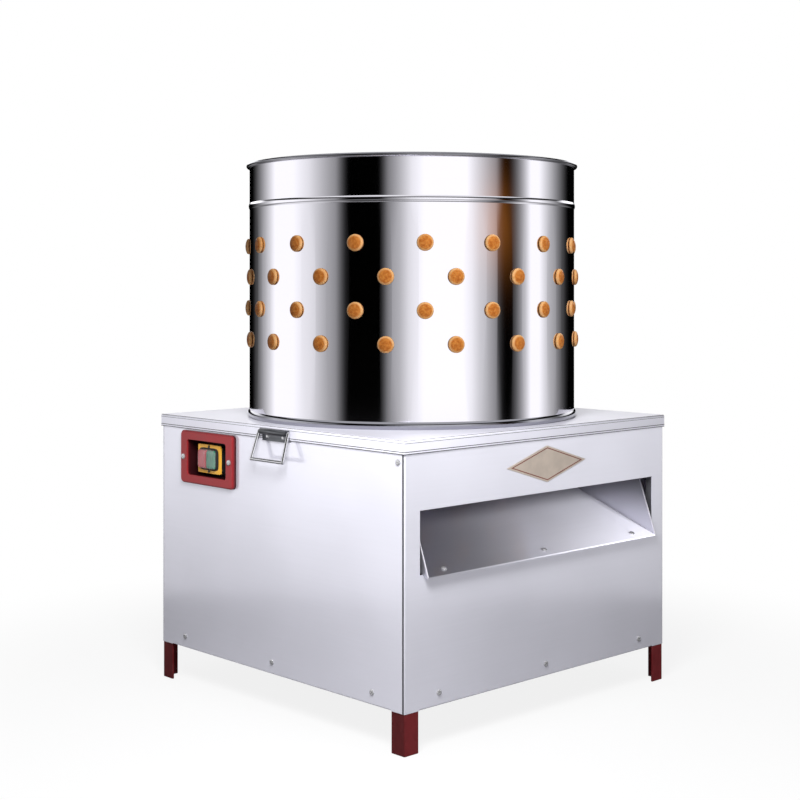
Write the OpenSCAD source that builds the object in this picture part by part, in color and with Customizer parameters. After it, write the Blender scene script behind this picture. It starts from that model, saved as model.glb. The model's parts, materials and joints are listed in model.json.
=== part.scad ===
// Poultry plucker: a drum lined with rubber fingers stands on a square cabinet. A finger plate spins
// in the drum, driven by a motor and belt in the cabinet, and the feathers leave down a sloped chute.
// Millimetres. +Z is up, the floor is z = 0 and the drum's axis is x = y = 0.
// The outlet faces -Y and the switch faces -X.

/* [Cabinet] */
// Width of the cabinet across the outlet face
base_w = 658; // [640:1:720]
// Depth of the cabinet from the outlet face to the back
base_d = 658; // [640:1:720]
// Clear height of the legs under the panels
leg_clear = 66; // [40:1:150]
// Height from the panels' bottom edge to the top of the frame
cabinet_h = 422; // [390:1:480]
// Thickness of the panel sheet
sheet_t = 1.2; // [0.8:0.1:1.5]
// Outside radius of the panels' folds
bend_r = 3; // [2.5:0.5:4]
// Depth of the folded hem under each panel
hem_w = 14; // [8:1:20]
// How far the outlet and back panels wrap round the corners
return_l = 5; // [4:0.5:8]
// Seam between neighbouring panels
seam = 0.6; // [0.3:0.1:1.5]
// Flange width of the frame's angle iron
angle_w = 30; // [25:1:34]
// Thickness of the frame's angle iron
angle_t = 3; // [2.5:0.5:4]

/* [Cover] */
// Thickness of the cover sheet
cover_t = 1.5; // [1:0.1:2]
// Depth of the cover's skirt
cover_skirt = 22; // [15:1:24]
// Outside radius of the cover's folds
cover_bend_r = 3; // [2.5:0.5:4]
// Gap between the skirt and the panels
cover_gap = 0.3; // [0.2:0.1:1]

/* [Drum] */
// Outside diameter of the drum
drum_d = 600; // [580:1:620]
// Wall thickness of the drum
drum_t = 1.2; // [0.8:0.1:2]
// Height of the drum above the cover
drum_h = 461; // [430:1:520]
// Diameter of the rolled rim
rim_d = 7; // [5:0.5:10]
// Height of the raised bead round the drum
bead_h = 11; // [8:0.5:14]
// How far the bead stands out
bead_out = 1.6; // [1:0.1:2.5]
// Distance from the rim down to the middle of the bead
bead_drop = 77; // [50:1:90]
// Height of the ring round the drum's foot
foot_ring_h = 13; // [8:1:16]
// Thickness of the ring round the drum's foot
foot_ring_t = 3; // [1:0.5:4]
// Width of the ledge that the drum stands on, inside its wall
drum_ledge = 4; // [2:1:8]

/* [Fingers] */
// Fingers in each row
row_fingers = 16; // [12:1:18]
// Height of the lowest row above the cover
first_row_h = 141.5; // [138:0.5:150]
// Distance between rows
row_pitch = 56.5; // [45:0.5:62]
// Turn of the top row about the drum's axis
row_phase = 5.6; // [0:0.1:22.5]
// Turn between neighbouring rows
row_stagger = 10; // [0:0.5:15]
// Length of a finger from head to tip
finger_len = 95; // [88:1:98]
// Diameter of a finger's head
head_d = 28.5; // [26:0.5:32]
// Height of a finger's head
head_h = 7.5; // [5:0.5:9]
// Rounding of a finger's head
head_round = 4; // [1:0.5:4.5]
// Diameter of the holes that hold the fingers
finger_hole_d = 21; // [18:0.5:22]
// Diameter of a finger's inner shoulder
shoulder_d = 26; // [24:0.5:30]
// Height of a finger's inner shoulder
shoulder_h = 4; // [3:0.5:6]
// Diameter of a finger at its root
root_d = 20; // [18:0.5:22]
// Diameter of a finger at its tip
tip_d = 15; // [12:0.5:18]
// Ribs along a finger
rib_count = 9; // [5:1:12]
// How far a rib stands out
rib_out = 1.2; // [0.5:0.1:2]

/* [Turntable] */
// Thickness of the finger plate
plate_t = 4; // [3:0.5:6]
// Gap between the finger plate and the drum
plate_gap = 20; // [14:1:26]
// Clearance between the plate fingers' tips and the lowest wall fingers
tip_gap = 12; // [6:1:16]
// Distance from the plate's edge to the outer ring of fingers
ring_edge = 35; // [25:1:45]
// Distance between the rings of fingers
ring_pitch = 75; // [60:1:78]
// Diameter of the hub's flange
hub_flange_d = 130; // [120:1:140]
// Thickness of the hub's flange
hub_flange_t = 12; // [8:1:16]
// Diameter of the hub's boss
hub_boss_d = 60; // [50:1:70]
// Length of the hub
hub_l = 62; // [45:1:66]
// Diameter of the hub's bolt circle
hub_pcd = 100; // [96:1:102]

/* [Drive] */
// Diameter of the main shaft
shaft_d = 30; // [25:1:32]
// Width of a bearing housing's square flange
housing_w = 108; // [104:1:116]
// Distance between a bearing housing's bolts
housing_pitch = 83; // [80:1:86]
// Height of a bearing housing
housing_h = 31; // [28:1:34]
// Outside diameter of a bearing
bearing_d = 62; // [56:1:64]
// Pitch diameter of the motor pulley
motor_pd = 64; // [60:1:80]
// Gap between the pitch circles of the two pulleys
pulley_gap = 33; // [25:1:60]
// Width of both pulleys
pulley_w = 22; // [18:1:26]
// Top width of the belt
belt_w = 13; // [11:0.5:14]
// Height of the belt
belt_h = 8; // [7:0.5:9]
// Distance from the motor shaft back to the cabinet's back face
motor_back = 104; // [100:1:110]
// Diameter of the motor's flange
motor_flange_d = 190; // [186:1:194]
// Diameter over the motor's fins
motor_d = 144; // [130:1:146]
// Gap between the top of the motor and the chute's floor
motor_headroom = 42; // [20:1:70]
// Diameter of the motor's shaft
motor_shaft_d = 24; // [19:1:26]
// Thickness of the motor plate
motor_plate_t = 6; // [4:1:8]

/* [Outlet] */
// Depth of the chute's lip under the top of the frame
lip_drop = 214; // [208:1:230]
// How far the chute's lip stands out of the outlet face
lip_out = 12; // [6:1:13]
// Slope of the chute's front part
chute_angle = 20; // [16:0.5:21]
// Depth of the outlet's top edge under the top of the frame
outlet_drop = 110; // [98:1:118]
// Distance from the outlet's ends to the sides of the cabinet
outlet_side = 32; // [32:1:80]
// Gap between the chute's sides and the outlet's edges
chute_side_gap = 7; // [4:0.5:12]
// Height of the chute's sides, square to its floor
chute_side_h = 120; // [100:1:130]
// Distance from the drum's axis forward to the bend in the chute's floor
chute_bend = 60; // [30:1:80]
// Depth of the chute's back end under the cover
chute_back_drop = 24; // [20:1:30]

/* [Switch] */
// Distance from the switch's middle back to the cabinet's back face
switch_back = 148; // [130:1:180]
// Depth of the switch's middle under the top of the frame
switch_drop = 70.5; // [69:0.5:76]
// Width of the switch's frame
bezel_w = 159; // [145:1:165]
// Height of the switch's frame
bezel_h = 95; // [88:1:96]
// How far the switch's frame stands out
bezel_out = 8; // [5:0.5:12]
// Width of the window in the frame
window_w = 118; // [105:1:122]
// Height of the window in the frame
window_h = 64; // [58:1:66]
// Depth of the switch box behind the panel
switch_box_d = 33; // [28:1:34]
// Width of the switch's face plate
face_w = 66; // [60:1:72]
// Height of the switch's face plate
face_h = 51; // [46:1:56]
// Width of a button
button_w = 23; // [20:0.5:26]
// Height of a button
button_h = 32; // [26:0.5:36]
// How far a button stands out of the face plate
button_out = 8; // [5:0.5:9]
// Travel of a button
button_travel = 4; // [2:0.5:5]

/* [Handles] */
// Distance of the handles forward from the middle of their faces
handle_forward = 13; // [0:1:40]
// Width of a handle's plate
handle_w = 72; // [60:1:90]
// Height of a handle's plate
handle_h = 21; // [19:0.5:22]
// Diameter of the handle's wire
wire_d = 6; // [4:0.5:7]
// Length of the hanging wire loop
bail_drop = 49; // [40:1:60]
// How much wider the loop is at its foot than at its pivot, on each side
bail_flare = 3; // [0:0.5:8]
// Distance of the handle's pivot out from the skirt
pivot_out = 5.5; // [5.5:0.5:8]
// Angle at which the loop rests, out from the vertical
bail_rest = 17; // [0:1:30]

/* [Plates] */
// Width of the diamond-shaped plate
nameplate_w = 202; // [120:1:240]
// Height of the diamond-shaped plate
nameplate_h = 62; // [40:1:64]
// Depth of the diamond-shaped plate's middle under the top of the frame
nameplate_drop = 62; // [58:1:68]
// Distance of the diamond-shaped plate to the right of the middle
nameplate_x = 4; // [-20:1:20]
// Diameter of the hole in the cable gland
gland_bore_d = 9; // [6:0.5:10]

/* [Hidden] */
$fn = 96;
eps = 0.01;
// Clearances shared by pieces that fit together
slip_fit = 0.05;
loose_fit = 0.3;
seat_gap = 0.2;
bar_gap = 7;
// Cabinet levels and sizes
frame_w = base_w - 2 * sheet_t;
frame_d = base_d - 2 * sheet_t;
panel_z = leg_clear;
frame_top = leg_clear + cabinet_h;
panel_top_gap = 2;
panel_h = cabinet_h - panel_top_gap;
bottom_rail_top = panel_z + bend_r + angle_w;
rail_hole_inset = 43;
leg_hole_inset = 13;
low_screw_rise = 21;
high_screw_drop = 33;
leg_gap = 1;
// Cover and drum
cover_top = frame_top + cover_t;
cover_w = base_w + 2 * (cover_gap + cover_t);
cover_d = base_d + 2 * (cover_gap + cover_t);
drum_r = drum_d / 2;
drum_top = cover_top + drum_h;
bead_z = drum_top - bead_drop;
bead_arc_r = (bead_h * bead_h / 4 + bead_out * bead_out) / (2 * bead_out);
foot_arc_r = (foot_ring_h * foot_ring_h / 4 + foot_ring_t * foot_ring_t) / (2 * foot_ring_t);
cover_hole_r = drum_r - drum_t - drum_ledge;
// Fingers
wall_rows = 4;
wall_sag = drum_r - sqrt(drum_r * drum_r - shoulder_d * shoulder_d / 4);
wall_neck = drum_t + wall_sag + 2 * seat_gap;
plate_neck = plate_t + 2 * seat_gap;
row_step = 360 / row_fingers;
tip_round = 3;
rib_foot = 0.3;
rib_start = 0.5;
rib_end = 0.8;
// Finger plate
plate_r = drum_r - drum_t - plate_gap;
finger_over_plate = finger_len - head_h - plate_neck + seat_gap;
plate_top = cover_top + first_row_h - shoulder_d / 2 - tip_gap - finger_over_plate;
plate_bottom = plate_top - plate_t;
plate_rings = [[0, 16], [1, 11], [2, 6]];
hub_bottom = plate_bottom - hub_l;
hub_bolt_count = 6;
shaft_shoulder = 3;
stub_d = shaft_d - 2 * shaft_shoulder;
stub_out = 26;
stub_l = plate_t + stub_out;
nut_h = 19;
nut_d = 41;
washer_d = 47;
washer_t = 2.5;
// Chute
outlet_w = base_w - 2 * outlet_side;
outlet_top_z = frame_top - outlet_drop;
lip_z = frame_top - lip_drop;
lip_y = -base_d / 2 - lip_out;
bend_y = -chute_bend;
bend_z = lip_z + (bend_y - lip_y) * tan(chute_angle);
chute_back_gap = 2;
back_y = frame_d / 2 - angle_w - chute_back_gap;
back_z = frame_top - chute_back_drop;
back_slope = (back_z - bend_z) / (back_y - bend_y);
chute_w = outlet_w - 2 * chute_side_gap;
chute_top_gap = 4;
chute_top = frame_top - chute_top_gap;
floor_t = sheet_t / cos(chute_angle);
outlet_bottom_z = floor_z(-base_d / 2) - floor_t;
strip_l = 28;
outlet_return_l = 14;
lip_hem_gap = 2;
chute_screw_in = 15;
chute_screw_inset = 50;
chute_screw_x = chute_w / 2 - chute_screw_inset;
collar_d = 64;
collar_t = 3;
collar_gap = 10;
collar_drop = 8;
collar_top = hub_bottom - collar_gap;
collar_bottom = floor_z(-collar_d / 2) - collar_drop;
// Bearings and bars
housing_flange_t = 13;
housing_wall = 5;
housing_boss_d = bearing_d + 2 * housing_wall;
housing_lip = 4;
bearing_proud = 1;
bearing_h = housing_h - housing_lip + bearing_proud;
bearing_headroom = 12;
upper_bar_top = floor_z(-housing_w / 2) - floor_t - bearing_headroom - housing_h;
mid_rail_top = upper_bar_top - angle_w;
lower_bar_top = bottom_rail_top + angle_w;
bar_l = frame_w - 2 * angle_t;
// Pulleys and belt
motor_y = base_d / 2 - motor_back;
driven_pd = 2 * (motor_y - pulley_gap) - motor_pd;
pulley_z = bottom_rail_top - bar_gap - pulley_w / 2;
shaft_tail = 8;
shaft_bottom = pulley_z - pulley_w / 2 - shaft_tail;
rim_t = 22;
web_t = 8;
pulley_hub_wall = 18;
pulley_hub_tail = 4;
pulley_hole_count = 6;
pulley_hole_edge = 17.5;
pitch_depth = 2.75;
groove_room = 2;
groove_angle = 20;
belt_lap = 1;
belt_inset = 0.05;
belt_foot_w = belt_w - 2 * belt_h * tan(groove_angle);
tangent_angle = asin((driven_pd - motor_pd) / 2 / motor_y);
span_l = motor_y * cos(tangent_angle);
// Motor
motor_base = lower_bar_top + motor_plate_t;
motor_top = floor_z(motor_y - motor_d / 2) - floor_t - motor_headroom;
motor_h = motor_top - motor_base;
motor_flange_t = 12;
fin_h = 6;
fin_w = 3;
fin_count = 20;
motor_core_d = motor_d - 2 * fin_h;
motor_bolt_inset = 12;
motor_bolt_r = motor_flange_d / 2 - motor_bolt_inset;
motor_bolt_turn = 30;
fan_cover_h = 45;
fan_cover_t = 1.2;
motor_body_top = motor_base + motor_h - fan_cover_h;
end_bell_h = 14;
pad_rise = 6;
pad_w = 40;
pad_out = motor_d / 2 + pad_rise;
motor_plate_w = 200;
motor_plate_l = motor_flange_d;
motor_plate_edge = 2;
motor_plate_hole_d = 44;
motor_bar_y = motor_plate_l / 2 - angle_w / 2 - motor_plate_edge;
vent_count = 12;
vent_r = 27;
vent_l = 26.4;
vent_w = 6;
fan_gap = 3;
fan_tip_gap = 10;
fan_hub_wall = 8;
fan_h = 29;
blade_count = 7;
blade_t = 2;
shaft_end_gap = 10;
terminal_box_size = [40, 76, 70];
terminal_box_rise = 70;
capacitor_d = 46;
capacitor_l = 92;
capacitor_rise = 60;
// Fasteners
screw_head_d = 10;
screw_top_d = 6.5;
screw_head_h = 2.6;
screw_d = 4.8;
screw_l = 9;
bolt_d = 10;
bolt_head_d = 18.5;
bolt_head_h = 6.4;
motor_bolt_d = 8;
motor_bolt_head_d = 14;
rivet_d = 4;
rivet_head_d = 8;
rivet_top_d = 4.8;
rivet_head_h = 1.8;
// Switch
switch_y = base_d / 2 - switch_back;
switch_z = frame_top - switch_drop;
bezel_round = 8;
bezel_step = 2.5;
window_round = 5;
box_wall = 1.5;
face_t = 4;
face_out = 1;
face_round = 2;
face_edge = 4;
pocket_room = 1;
button_gap = 2.4;
button_round = 2;
button_step = 2;
button_edge = 1.5;
button_fit = 0.3;
button_depth = 12;
clear_t = 1;
clear_gap = 1.5;
clear_round = 2;
bezel_screw_inset = 10.5;
// Handles
handle_t = 1.5;
knuckle_t = 2;
knuckle_d = wire_d + 2 * knuckle_t;
handle_drop = 4.5;
handle_top = cover_top - handle_drop;
rivet_rise = 8;
rivet_inset = 14.8;
pivot_z = handle_top - knuckle_d / 2;
pin_gap = 0.4;
pin_l = 14;
corner_swell = 0.5;
corner_d = wire_d + corner_swell;
bail_half = handle_w / 2 + pin_gap + corner_d / 2;
// Nameplate and cable gland
nameplate_z = frame_top - nameplate_drop;
nameplate_t = 1;
gland_inset = 129;
gland_x = base_w / 2 - gland_inset;
gland_z = 150;
gland_thread_d = 20;
gland_hex_d = 27;
gland_hex_h = 8;
gland_cap_d = 23;
gland_out = 20;
gland_in = 12;
gland_nut_h = 5;

steel = "#d3d3d8";
bright_steel = "#e2e2e4";
maroon = "#64202a";
amber = "#d6903c";
dark_metal = "#4a4d50";

// Height of the top of the chute's floor at a distance y behind the drum's axis
function floor_z(y) =
  y < bend_y ? lip_z + (y - lip_y) * tan(chute_angle) : bend_z + (y - bend_y) * back_slope;

// Shared shapes

module rounded_rect(w, h, r) {
  square([w - 2 * r, h], center = true);
  square([w, h - 2 * r], center = true);
  for (sx = [-1, 1], sy = [-1, 1])
    translate([sx * (w / 2 - r), sy * (h / 2 - r)]) circle(r);
}

// A quarter of a fold, between the two legs of a bent sheet
module fold(r, t) {
  intersection() {
    translate([r, r]) difference() {
      circle(r);
      circle(r - t);
    }
    square(r);
  }
}

// Turns to one face of the cabinet: x runs to the right seen from outside, y runs up, z runs out
module on_face(turn, out) {
  rotate([90, 0, turn]) translate([0, 0, out]) children();
}

module on_outlet_face() {
  on_face(0, base_d / 2) children();
}

module on_back_face() {
  on_face(180, base_d / 2) children();
}

module on_switch_face() {
  on_face(-90, base_w / 2) children();
}

module on_right_face() {
  on_face(90, base_w / 2) children();
}

module on_both_sides() {
  children();
  mirror([1, 0, 0]) children();
}

// Angle iron along X, with its flat flange on top
module angle_bar(l) {
  translate([0, 0, -angle_t]) cube([l, angle_w, angle_t]);
  translate([0, 0, -angle_w]) cube([l, angle_t, angle_w]);
}

module pan_screw(l) {
  cylinder(d = screw_head_d, h = screw_head_h / 2);
  translate([0, 0, screw_head_h / 2])
    cylinder(d1 = screw_head_d, d2 = screw_top_d, h = screw_head_h / 2);
  translate([0, 0, -l]) cylinder(d = screw_d, h = l);
}

// Hexagon bolt hanging from its head, with a nut below the pieces that it clamps
module hex_bolt(d, head_d, grip) {
  cylinder(d = head_d, h = bolt_head_h, $fn = 6);
  translate([0, 0, -grip - 2 * bolt_head_h]) cylinder(d = d, h = grip + 2 * bolt_head_h);
  translate([0, 0, -grip - bolt_head_h]) cylinder(d = head_d, h = bolt_head_h, $fn = 6);
}

// Frame

module leg_profile() {
  corner_r = bend_r - sheet_t;
  difference() {
    union() {
      square([angle_w, angle_t]);
      square([angle_t, angle_w]);
    }
    difference() {
      square(corner_r);
      translate([corner_r, corner_r]) circle(corner_r);
    }
  }
}

// Upper panel screw holes: on the switch and right faces at the front, on the back face at both ends
module leg_holes() {
  hole_d = screw_d + loose_fit;
  translate([0, 0, frame_top - high_screw_drop]) {
    translate([-frame_w, -frame_d / 2 + leg_hole_inset, 0])
      rotate([0, 90, 0]) cylinder(d = hole_d, h = 2 * frame_w);
    on_both_sides() translate([frame_w / 2 - leg_hole_inset, 0, 0])
      rotate([-90, 0, 0]) cylinder(d = hole_d, h = frame_d);
  }
}

module leg(right, back) {
  color(maroon) difference() {
    mirror([right, 0, 0]) mirror([0, back, 0])
      translate([-frame_w / 2, -frame_d / 2, 0]) linear_extrude(frame_top) leg_profile();
    leg_holes();
  }
}

module front_left_leg() {
  leg(0, 0);
}

module front_right_leg() {
  leg(1, 0);
}

module back_left_leg() {
  leg(0, 1);
}

module back_right_leg() {
  leg(1, 1);
}

module front_rail(top) {
  l = frame_w - 2 * angle_w;
  translate([-l / 2, -frame_d / 2, top]) angle_bar(l);
}

module left_rail(top) {
  l = frame_d - 2 * angle_w;
  translate([-frame_w / 2, l / 2, top]) rotate([0, 0, -90]) angle_bar(l);
}

module rail_ring(top) {
  for (m = [0, 1]) {
    mirror([0, m, 0]) front_rail(top);
    mirror([m, 0, 0]) left_rail(top);
  }
}

module top_rails() {
  color(maroon) rail_ring(frame_top);
}

module bottom_rails() {
  color(maroon) difference() {
    rail_ring(bottom_rail_top);
    for (x = low_screw_places(frame_w))
      translate([x, -frame_d, panel_z + low_screw_rise])
        rotate([-90, 0, 0]) cylinder(d = screw_d + loose_fit, h = 2 * frame_d);
    for (y = low_screw_places(frame_d))
      translate([-frame_w, y, panel_z + low_screw_rise])
        rotate([0, 90, 0]) cylinder(d = screw_d + loose_fit, h = 2 * frame_w);
  }
}

module mid_rails() {
  color(maroon) on_both_sides() left_rail(mid_rail_top);
}

// One bar across the cabinet with its upright flange away from the pieces between the bars
module cross_bar(y, top) {
  translate([-bar_l / 2, y - angle_w / 2, top]) angle_bar(bar_l);
}

module bearing_bars(top) {
  difference() {
    union() {
      cross_bar(-housing_pitch / 2, top);
      mirror([0, 1, 0]) cross_bar(-housing_pitch / 2, top);
    }
    housing_bolt_places() translate([0, 0, top - angle_w])
      cylinder(d = bolt_d + loose_fit, h = angle_w + eps);
  }
}

module upper_bearing_bars() {
  color(maroon) bearing_bars(upper_bar_top);
}

module lower_bearing_bars() {
  color(maroon) bearing_bars(lower_bar_top);
}

module motor_bars() {
  color(maroon) difference() {
    union() {
      translate([0, motor_y, 0]) cross_bar(-motor_bar_y, lower_bar_top);
      translate([0, motor_y, 0]) mirror([0, 1, 0]) cross_bar(-motor_bar_y, lower_bar_top);
    }
    plate_bolt_places() translate([0, 0, lower_bar_top - angle_w])
      cylinder(d = bolt_d + loose_fit, h = angle_w + eps);
  }
}

// Panels

function low_screw_places(w) = [
  -w / 2 + angle_w + rail_hole_inset,
  0,
  w / 2 - angle_w - rail_hole_inset
];

module low_screw_row(w) {
  for (x = low_screw_places(w))
    translate([x, panel_z + low_screw_rise, 0]) children();
}

module high_screw(x) {
  translate([x, frame_top - high_screw_drop, 0]) children();
}

module outlet_screw_places() {
  on_outlet_face() low_screw_row(frame_w) children();
}

module back_screw_places() {
  on_back_face() {
    low_screw_row(frame_w) children();
    high_screw(-frame_w / 2 + leg_hole_inset) children();
    high_screw(frame_w / 2 - leg_hole_inset) children();
  }
}

module switch_screw_places() {
  on_switch_face() {
    low_screw_row(frame_d) children();
    high_screw(frame_d / 2 - leg_hole_inset) children();
  }
}

module right_screw_places() {
  on_right_face() {
    low_screw_row(frame_d) children();
    high_screw(-frame_d / 2 + leg_hole_inset) children();
  }
}

module chute_screw_places() {
  y = lip_y + chute_screw_in;
  for (x = [-chute_screw_x, 0, chute_screw_x])
    translate([x, y, floor_z(y)]) rotate([chute_angle, 0, 0]) children();
}

module bezel_screw_places() {
  on_switch_face() translate([-switch_y, switch_z, bezel_out])
    for (s = [-1, 1]) translate([s * (bezel_w / 2 - bezel_screw_inset), 0, 0]) children();
}

module screw_hole() {
  translate([0, 0, -angle_w / 2]) cylinder(d = screw_d + loose_fit, h = angle_w);
}

// Flat sheet with a hem folded in under it, between the legs
module hem_profile() {
  fold(bend_r, sheet_t);
  translate([bend_r, 0]) square([hem_w - bend_r, sheet_t]);
  translate([0, bend_r]) square([sheet_t, sheet_t]);
}

// Plan of a panel that wraps round both corners, with its depth along y
module wrap_profile(w) {
  translate([-w / 2 + bend_r, 0]) square([w - 2 * bend_r, sheet_t]);
  on_both_sides() translate([-w / 2, 0]) {
    fold(bend_r, sheet_t);
    translate([0, bend_r]) square([sheet_t, return_l - bend_r]);
  }
}

module folded_panel(w, hem_l, wrapped) {
  difference() {
    translate([0, panel_z, 0]) rotate([-90, 0, 0]) linear_extrude(panel_h)
      if (wrapped) wrap_profile(w);
      else translate([-w / 2, 0]) square([w, sheet_t]);
    translate([-hem_l / 2, panel_z - eps, -hem_w]) cube([hem_l, bend_r + eps, hem_w + eps]);
  }
  translate([-hem_l / 2, panel_z, 0]) rotate([0, 90, 0]) linear_extrude(hem_l) hem_profile();
}

module outlet_panel() {
  hem_l = frame_w - 2 * angle_w - 2 * leg_gap;
  color(steel) difference() {
    union() {
      difference() {
        on_outlet_face() folded_panel(base_w, hem_l, true);
        translate([-outlet_w / 2, -base_d, outlet_bottom_z])
          cube([outlet_w, base_d, outlet_top_z - outlet_bottom_z]);
      }
      chute_strip();
      on_both_sides() outlet_return();
    }
    outlet_screw_places() screw_hole();
    chute_screw_places() screw_hole();
  }
}

// Edge of the sheet folded in at each end of the outlet
module outlet_return() {
  translate([-outlet_w / 2, -base_d / 2, outlet_bottom_z])
    cube([sheet_t, outlet_return_l, outlet_top_z - outlet_bottom_z]);
}

// Lip folded in from the outlet's lower edge, under the chute's floor
module chute_strip() {
  front = -base_d / 2;
  back = front + strip_l;
  strip_w = chute_w - 2 * angle_w;
  rotate([90, 0, 90]) translate([0, 0, -strip_w / 2]) linear_extrude(strip_w) polygon([
    [front, floor_z(front) - floor_t],
    [back, floor_z(back) - floor_t],
    [back, floor_z(back) - 2 * floor_t],
    [front, floor_z(front) - 2 * floor_t]
  ]);
}

module side_sheet() {
  folded_panel(base_d - 2 * (return_l + seam), frame_d - 2 * angle_w - 2 * leg_gap, false);
}

module switch_panel() {
  edge = box_wall + loose_fit;
  color(steel) difference() {
    on_switch_face() difference() {
      side_sheet();
      translate([-switch_y, switch_z, -hem_w]) linear_extrude(2 * hem_w)
        rounded_rect(window_w + 2 * edge, window_h + 2 * edge, window_round);
    }
    switch_screw_places() screw_hole();
    bezel_screw_places() screw_hole();
  }
}

module right_panel() {
  color(steel) difference() {
    on_right_face() side_sheet();
    right_screw_places() screw_hole();
  }
}

module back_panel() {
  color(steel) difference() {
    on_back_face() folded_panel(base_w, frame_w - 2 * angle_w - 2 * leg_gap, true);
    back_screw_places() screw_hole();
    gland_place() translate([0, 0, -hem_w]) cylinder(d = gland_thread_d + loose_fit, h = 2 * hem_w);
  }
}

module panel_screws() {
  color(bright_steel) {
    outlet_screw_places() pan_screw(screw_l);
    back_screw_places() pan_screw(screw_l);
    switch_screw_places() pan_screw(screw_l);
    right_screw_places() pan_screw(screw_l);
    chute_screw_places() pan_screw(screw_l);
    bezel_screw_places() pan_screw(screw_l + bezel_out);
  }
}

// Chute

module chute_floor() {
  rotate([90, 0, 90]) translate([0, 0, -chute_w / 2]) linear_extrude(chute_w) {
    polygon([
      [lip_y, lip_z],
      [bend_y, bend_z],
      [back_y, back_z],
      [back_y, back_z - floor_t],
      [bend_y, bend_z - floor_t],
      [lip_y, lip_z - floor_t]
    ]);
    lip_hem();
    translate([back_y - sheet_t, back_z - floor_t]) square([sheet_t, chute_top - back_z + floor_t]);
  }
}

// Front edge of the floor, folded back under itself
module lip_hem() {
  hem_end = lip_y + lip_out - lip_hem_gap;
  polygon([
    [lip_y, lip_z - floor_t],
    [lip_y, lip_z - 2 * floor_t],
    [hem_end, floor_z(hem_end) - 2 * floor_t],
    [hem_end, floor_z(hem_end) - floor_t]
  ]);
}

module chute_side() {
  crest_y = lip_y + chute_side_h * sin(chute_angle);
  crest_z = lip_z + chute_side_h * cos(chute_angle);
  top_y = min(crest_y + (chute_top - crest_z) / tan(chute_angle), back_y - sheet_t);
  rotate([90, 0, 90]) translate([0, 0, -chute_w / 2]) linear_extrude(sheet_t) polygon([
    [lip_y, lip_z - floor_t],
    [lip_y, lip_z],
    [crest_y, crest_z],
    [top_y, chute_top],
    [back_y, chute_top],
    [back_y, back_z - floor_t],
    [bend_y, bend_z - floor_t]
  ]);
}

module chute() {
  color(steel) difference() {
    union() {
      chute_floor();
      on_both_sides() chute_side();
    }
    translate([0, 0, collar_bottom]) cylinder(d = collar_d + loose_fit, h = collar_top - collar_bottom);
    chute_screw_places() screw_hole();
  }
}

// Upstand round the shaft, which keeps water off the upper bearing
module shaft_collar() {
  color(steel) translate([0, 0, collar_bottom]) difference() {
    cylinder(d = collar_d, h = collar_top - collar_bottom);
    translate([0, 0, -eps])
      cylinder(d = collar_d - 2 * collar_t, h = collar_top - collar_bottom + 2 * eps);
  }
}

// Cover and drum

// Box with its upper edges rounded, open-ended below
module crowned_box(w, d, h, r) {
  intersection() {
    rotate([90, 0, 0]) translate([0, 0, -d / 2]) linear_extrude(d) crowned_profile(w, h, r);
    rotate([90, 0, 90]) translate([0, 0, -w / 2]) linear_extrude(w) crowned_profile(d, h, r);
  }
}

module crowned_profile(w, h, r) {
  translate([-w / 2, -h]) square([w, h - r]);
  translate([-w / 2 + r, -r - eps]) square([w - 2 * r, r + eps]);
  for (s = [-1, 1]) translate([s * (w / 2 - r), -r]) circle(r);
}

module cover() {
  color(steel) translate([0, 0, cover_top]) difference() {
    crowned_box(cover_w, cover_d, cover_skirt, cover_bend_r);
    translate([0, 0, -cover_t])
      crowned_box(cover_w - 2 * cover_t, cover_d - 2 * cover_t, cover_skirt, cover_bend_r - cover_t);
    translate([0, 0, -2 * cover_t]) cylinder(r = cover_hole_r, h = 3 * cover_t);
    translate([0, 0, -cover_top]) handle_rivet_places() rivet_hole();
  }
}

function row_z(row) = cover_top + first_row_h + (wall_rows - row) * row_pitch;

function row_turn(row) = row_phase + ((row + 1) % 2) * row_stagger;

module drum_profile() {
  translate([drum_r - drum_t, cover_top]) square([drum_t, drum_h - rim_d / 2]);
  translate([drum_r - drum_t + rim_d / 2, drum_top - rim_d / 2]) circle(d = rim_d);
  intersection() {
    translate([drum_r + bead_out - bead_arc_r, bead_z]) circle(bead_arc_r);
    translate([drum_r - drum_t, bead_z - bead_h]) square([drum_t + bead_h, 2 * bead_h]);
  }
}

module finger_places(row) {
  for (i = [0 : row_fingers - 1])
    rotate([0, 0, row_turn(row) + i * row_step]) translate([drum_r, 0, row_z(row)])
      rotate([0, -90, 0]) children();
}

module drum() {
  color(bright_steel) difference() {
    rotate_extrude() drum_profile();
    for (row = [1 : wall_rows]) finger_places(row)
      translate([0, 0, -head_h]) cylinder(d = finger_hole_d, h = 2 * head_h);
  }
}

// Half-round ring in the corner between drum and cover
module drum_foot_ring() {
  inner_r = drum_r + slip_fit;
  color(bright_steel) translate([0, 0, cover_top]) rotate_extrude() intersection() {
    translate([inner_r + foot_ring_t - foot_arc_r, foot_ring_h / 2]) circle(foot_arc_r);
    translate([inner_r, -foot_ring_h]) square([2 * foot_ring_t, 3 * foot_ring_h]);
  }
}

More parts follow.
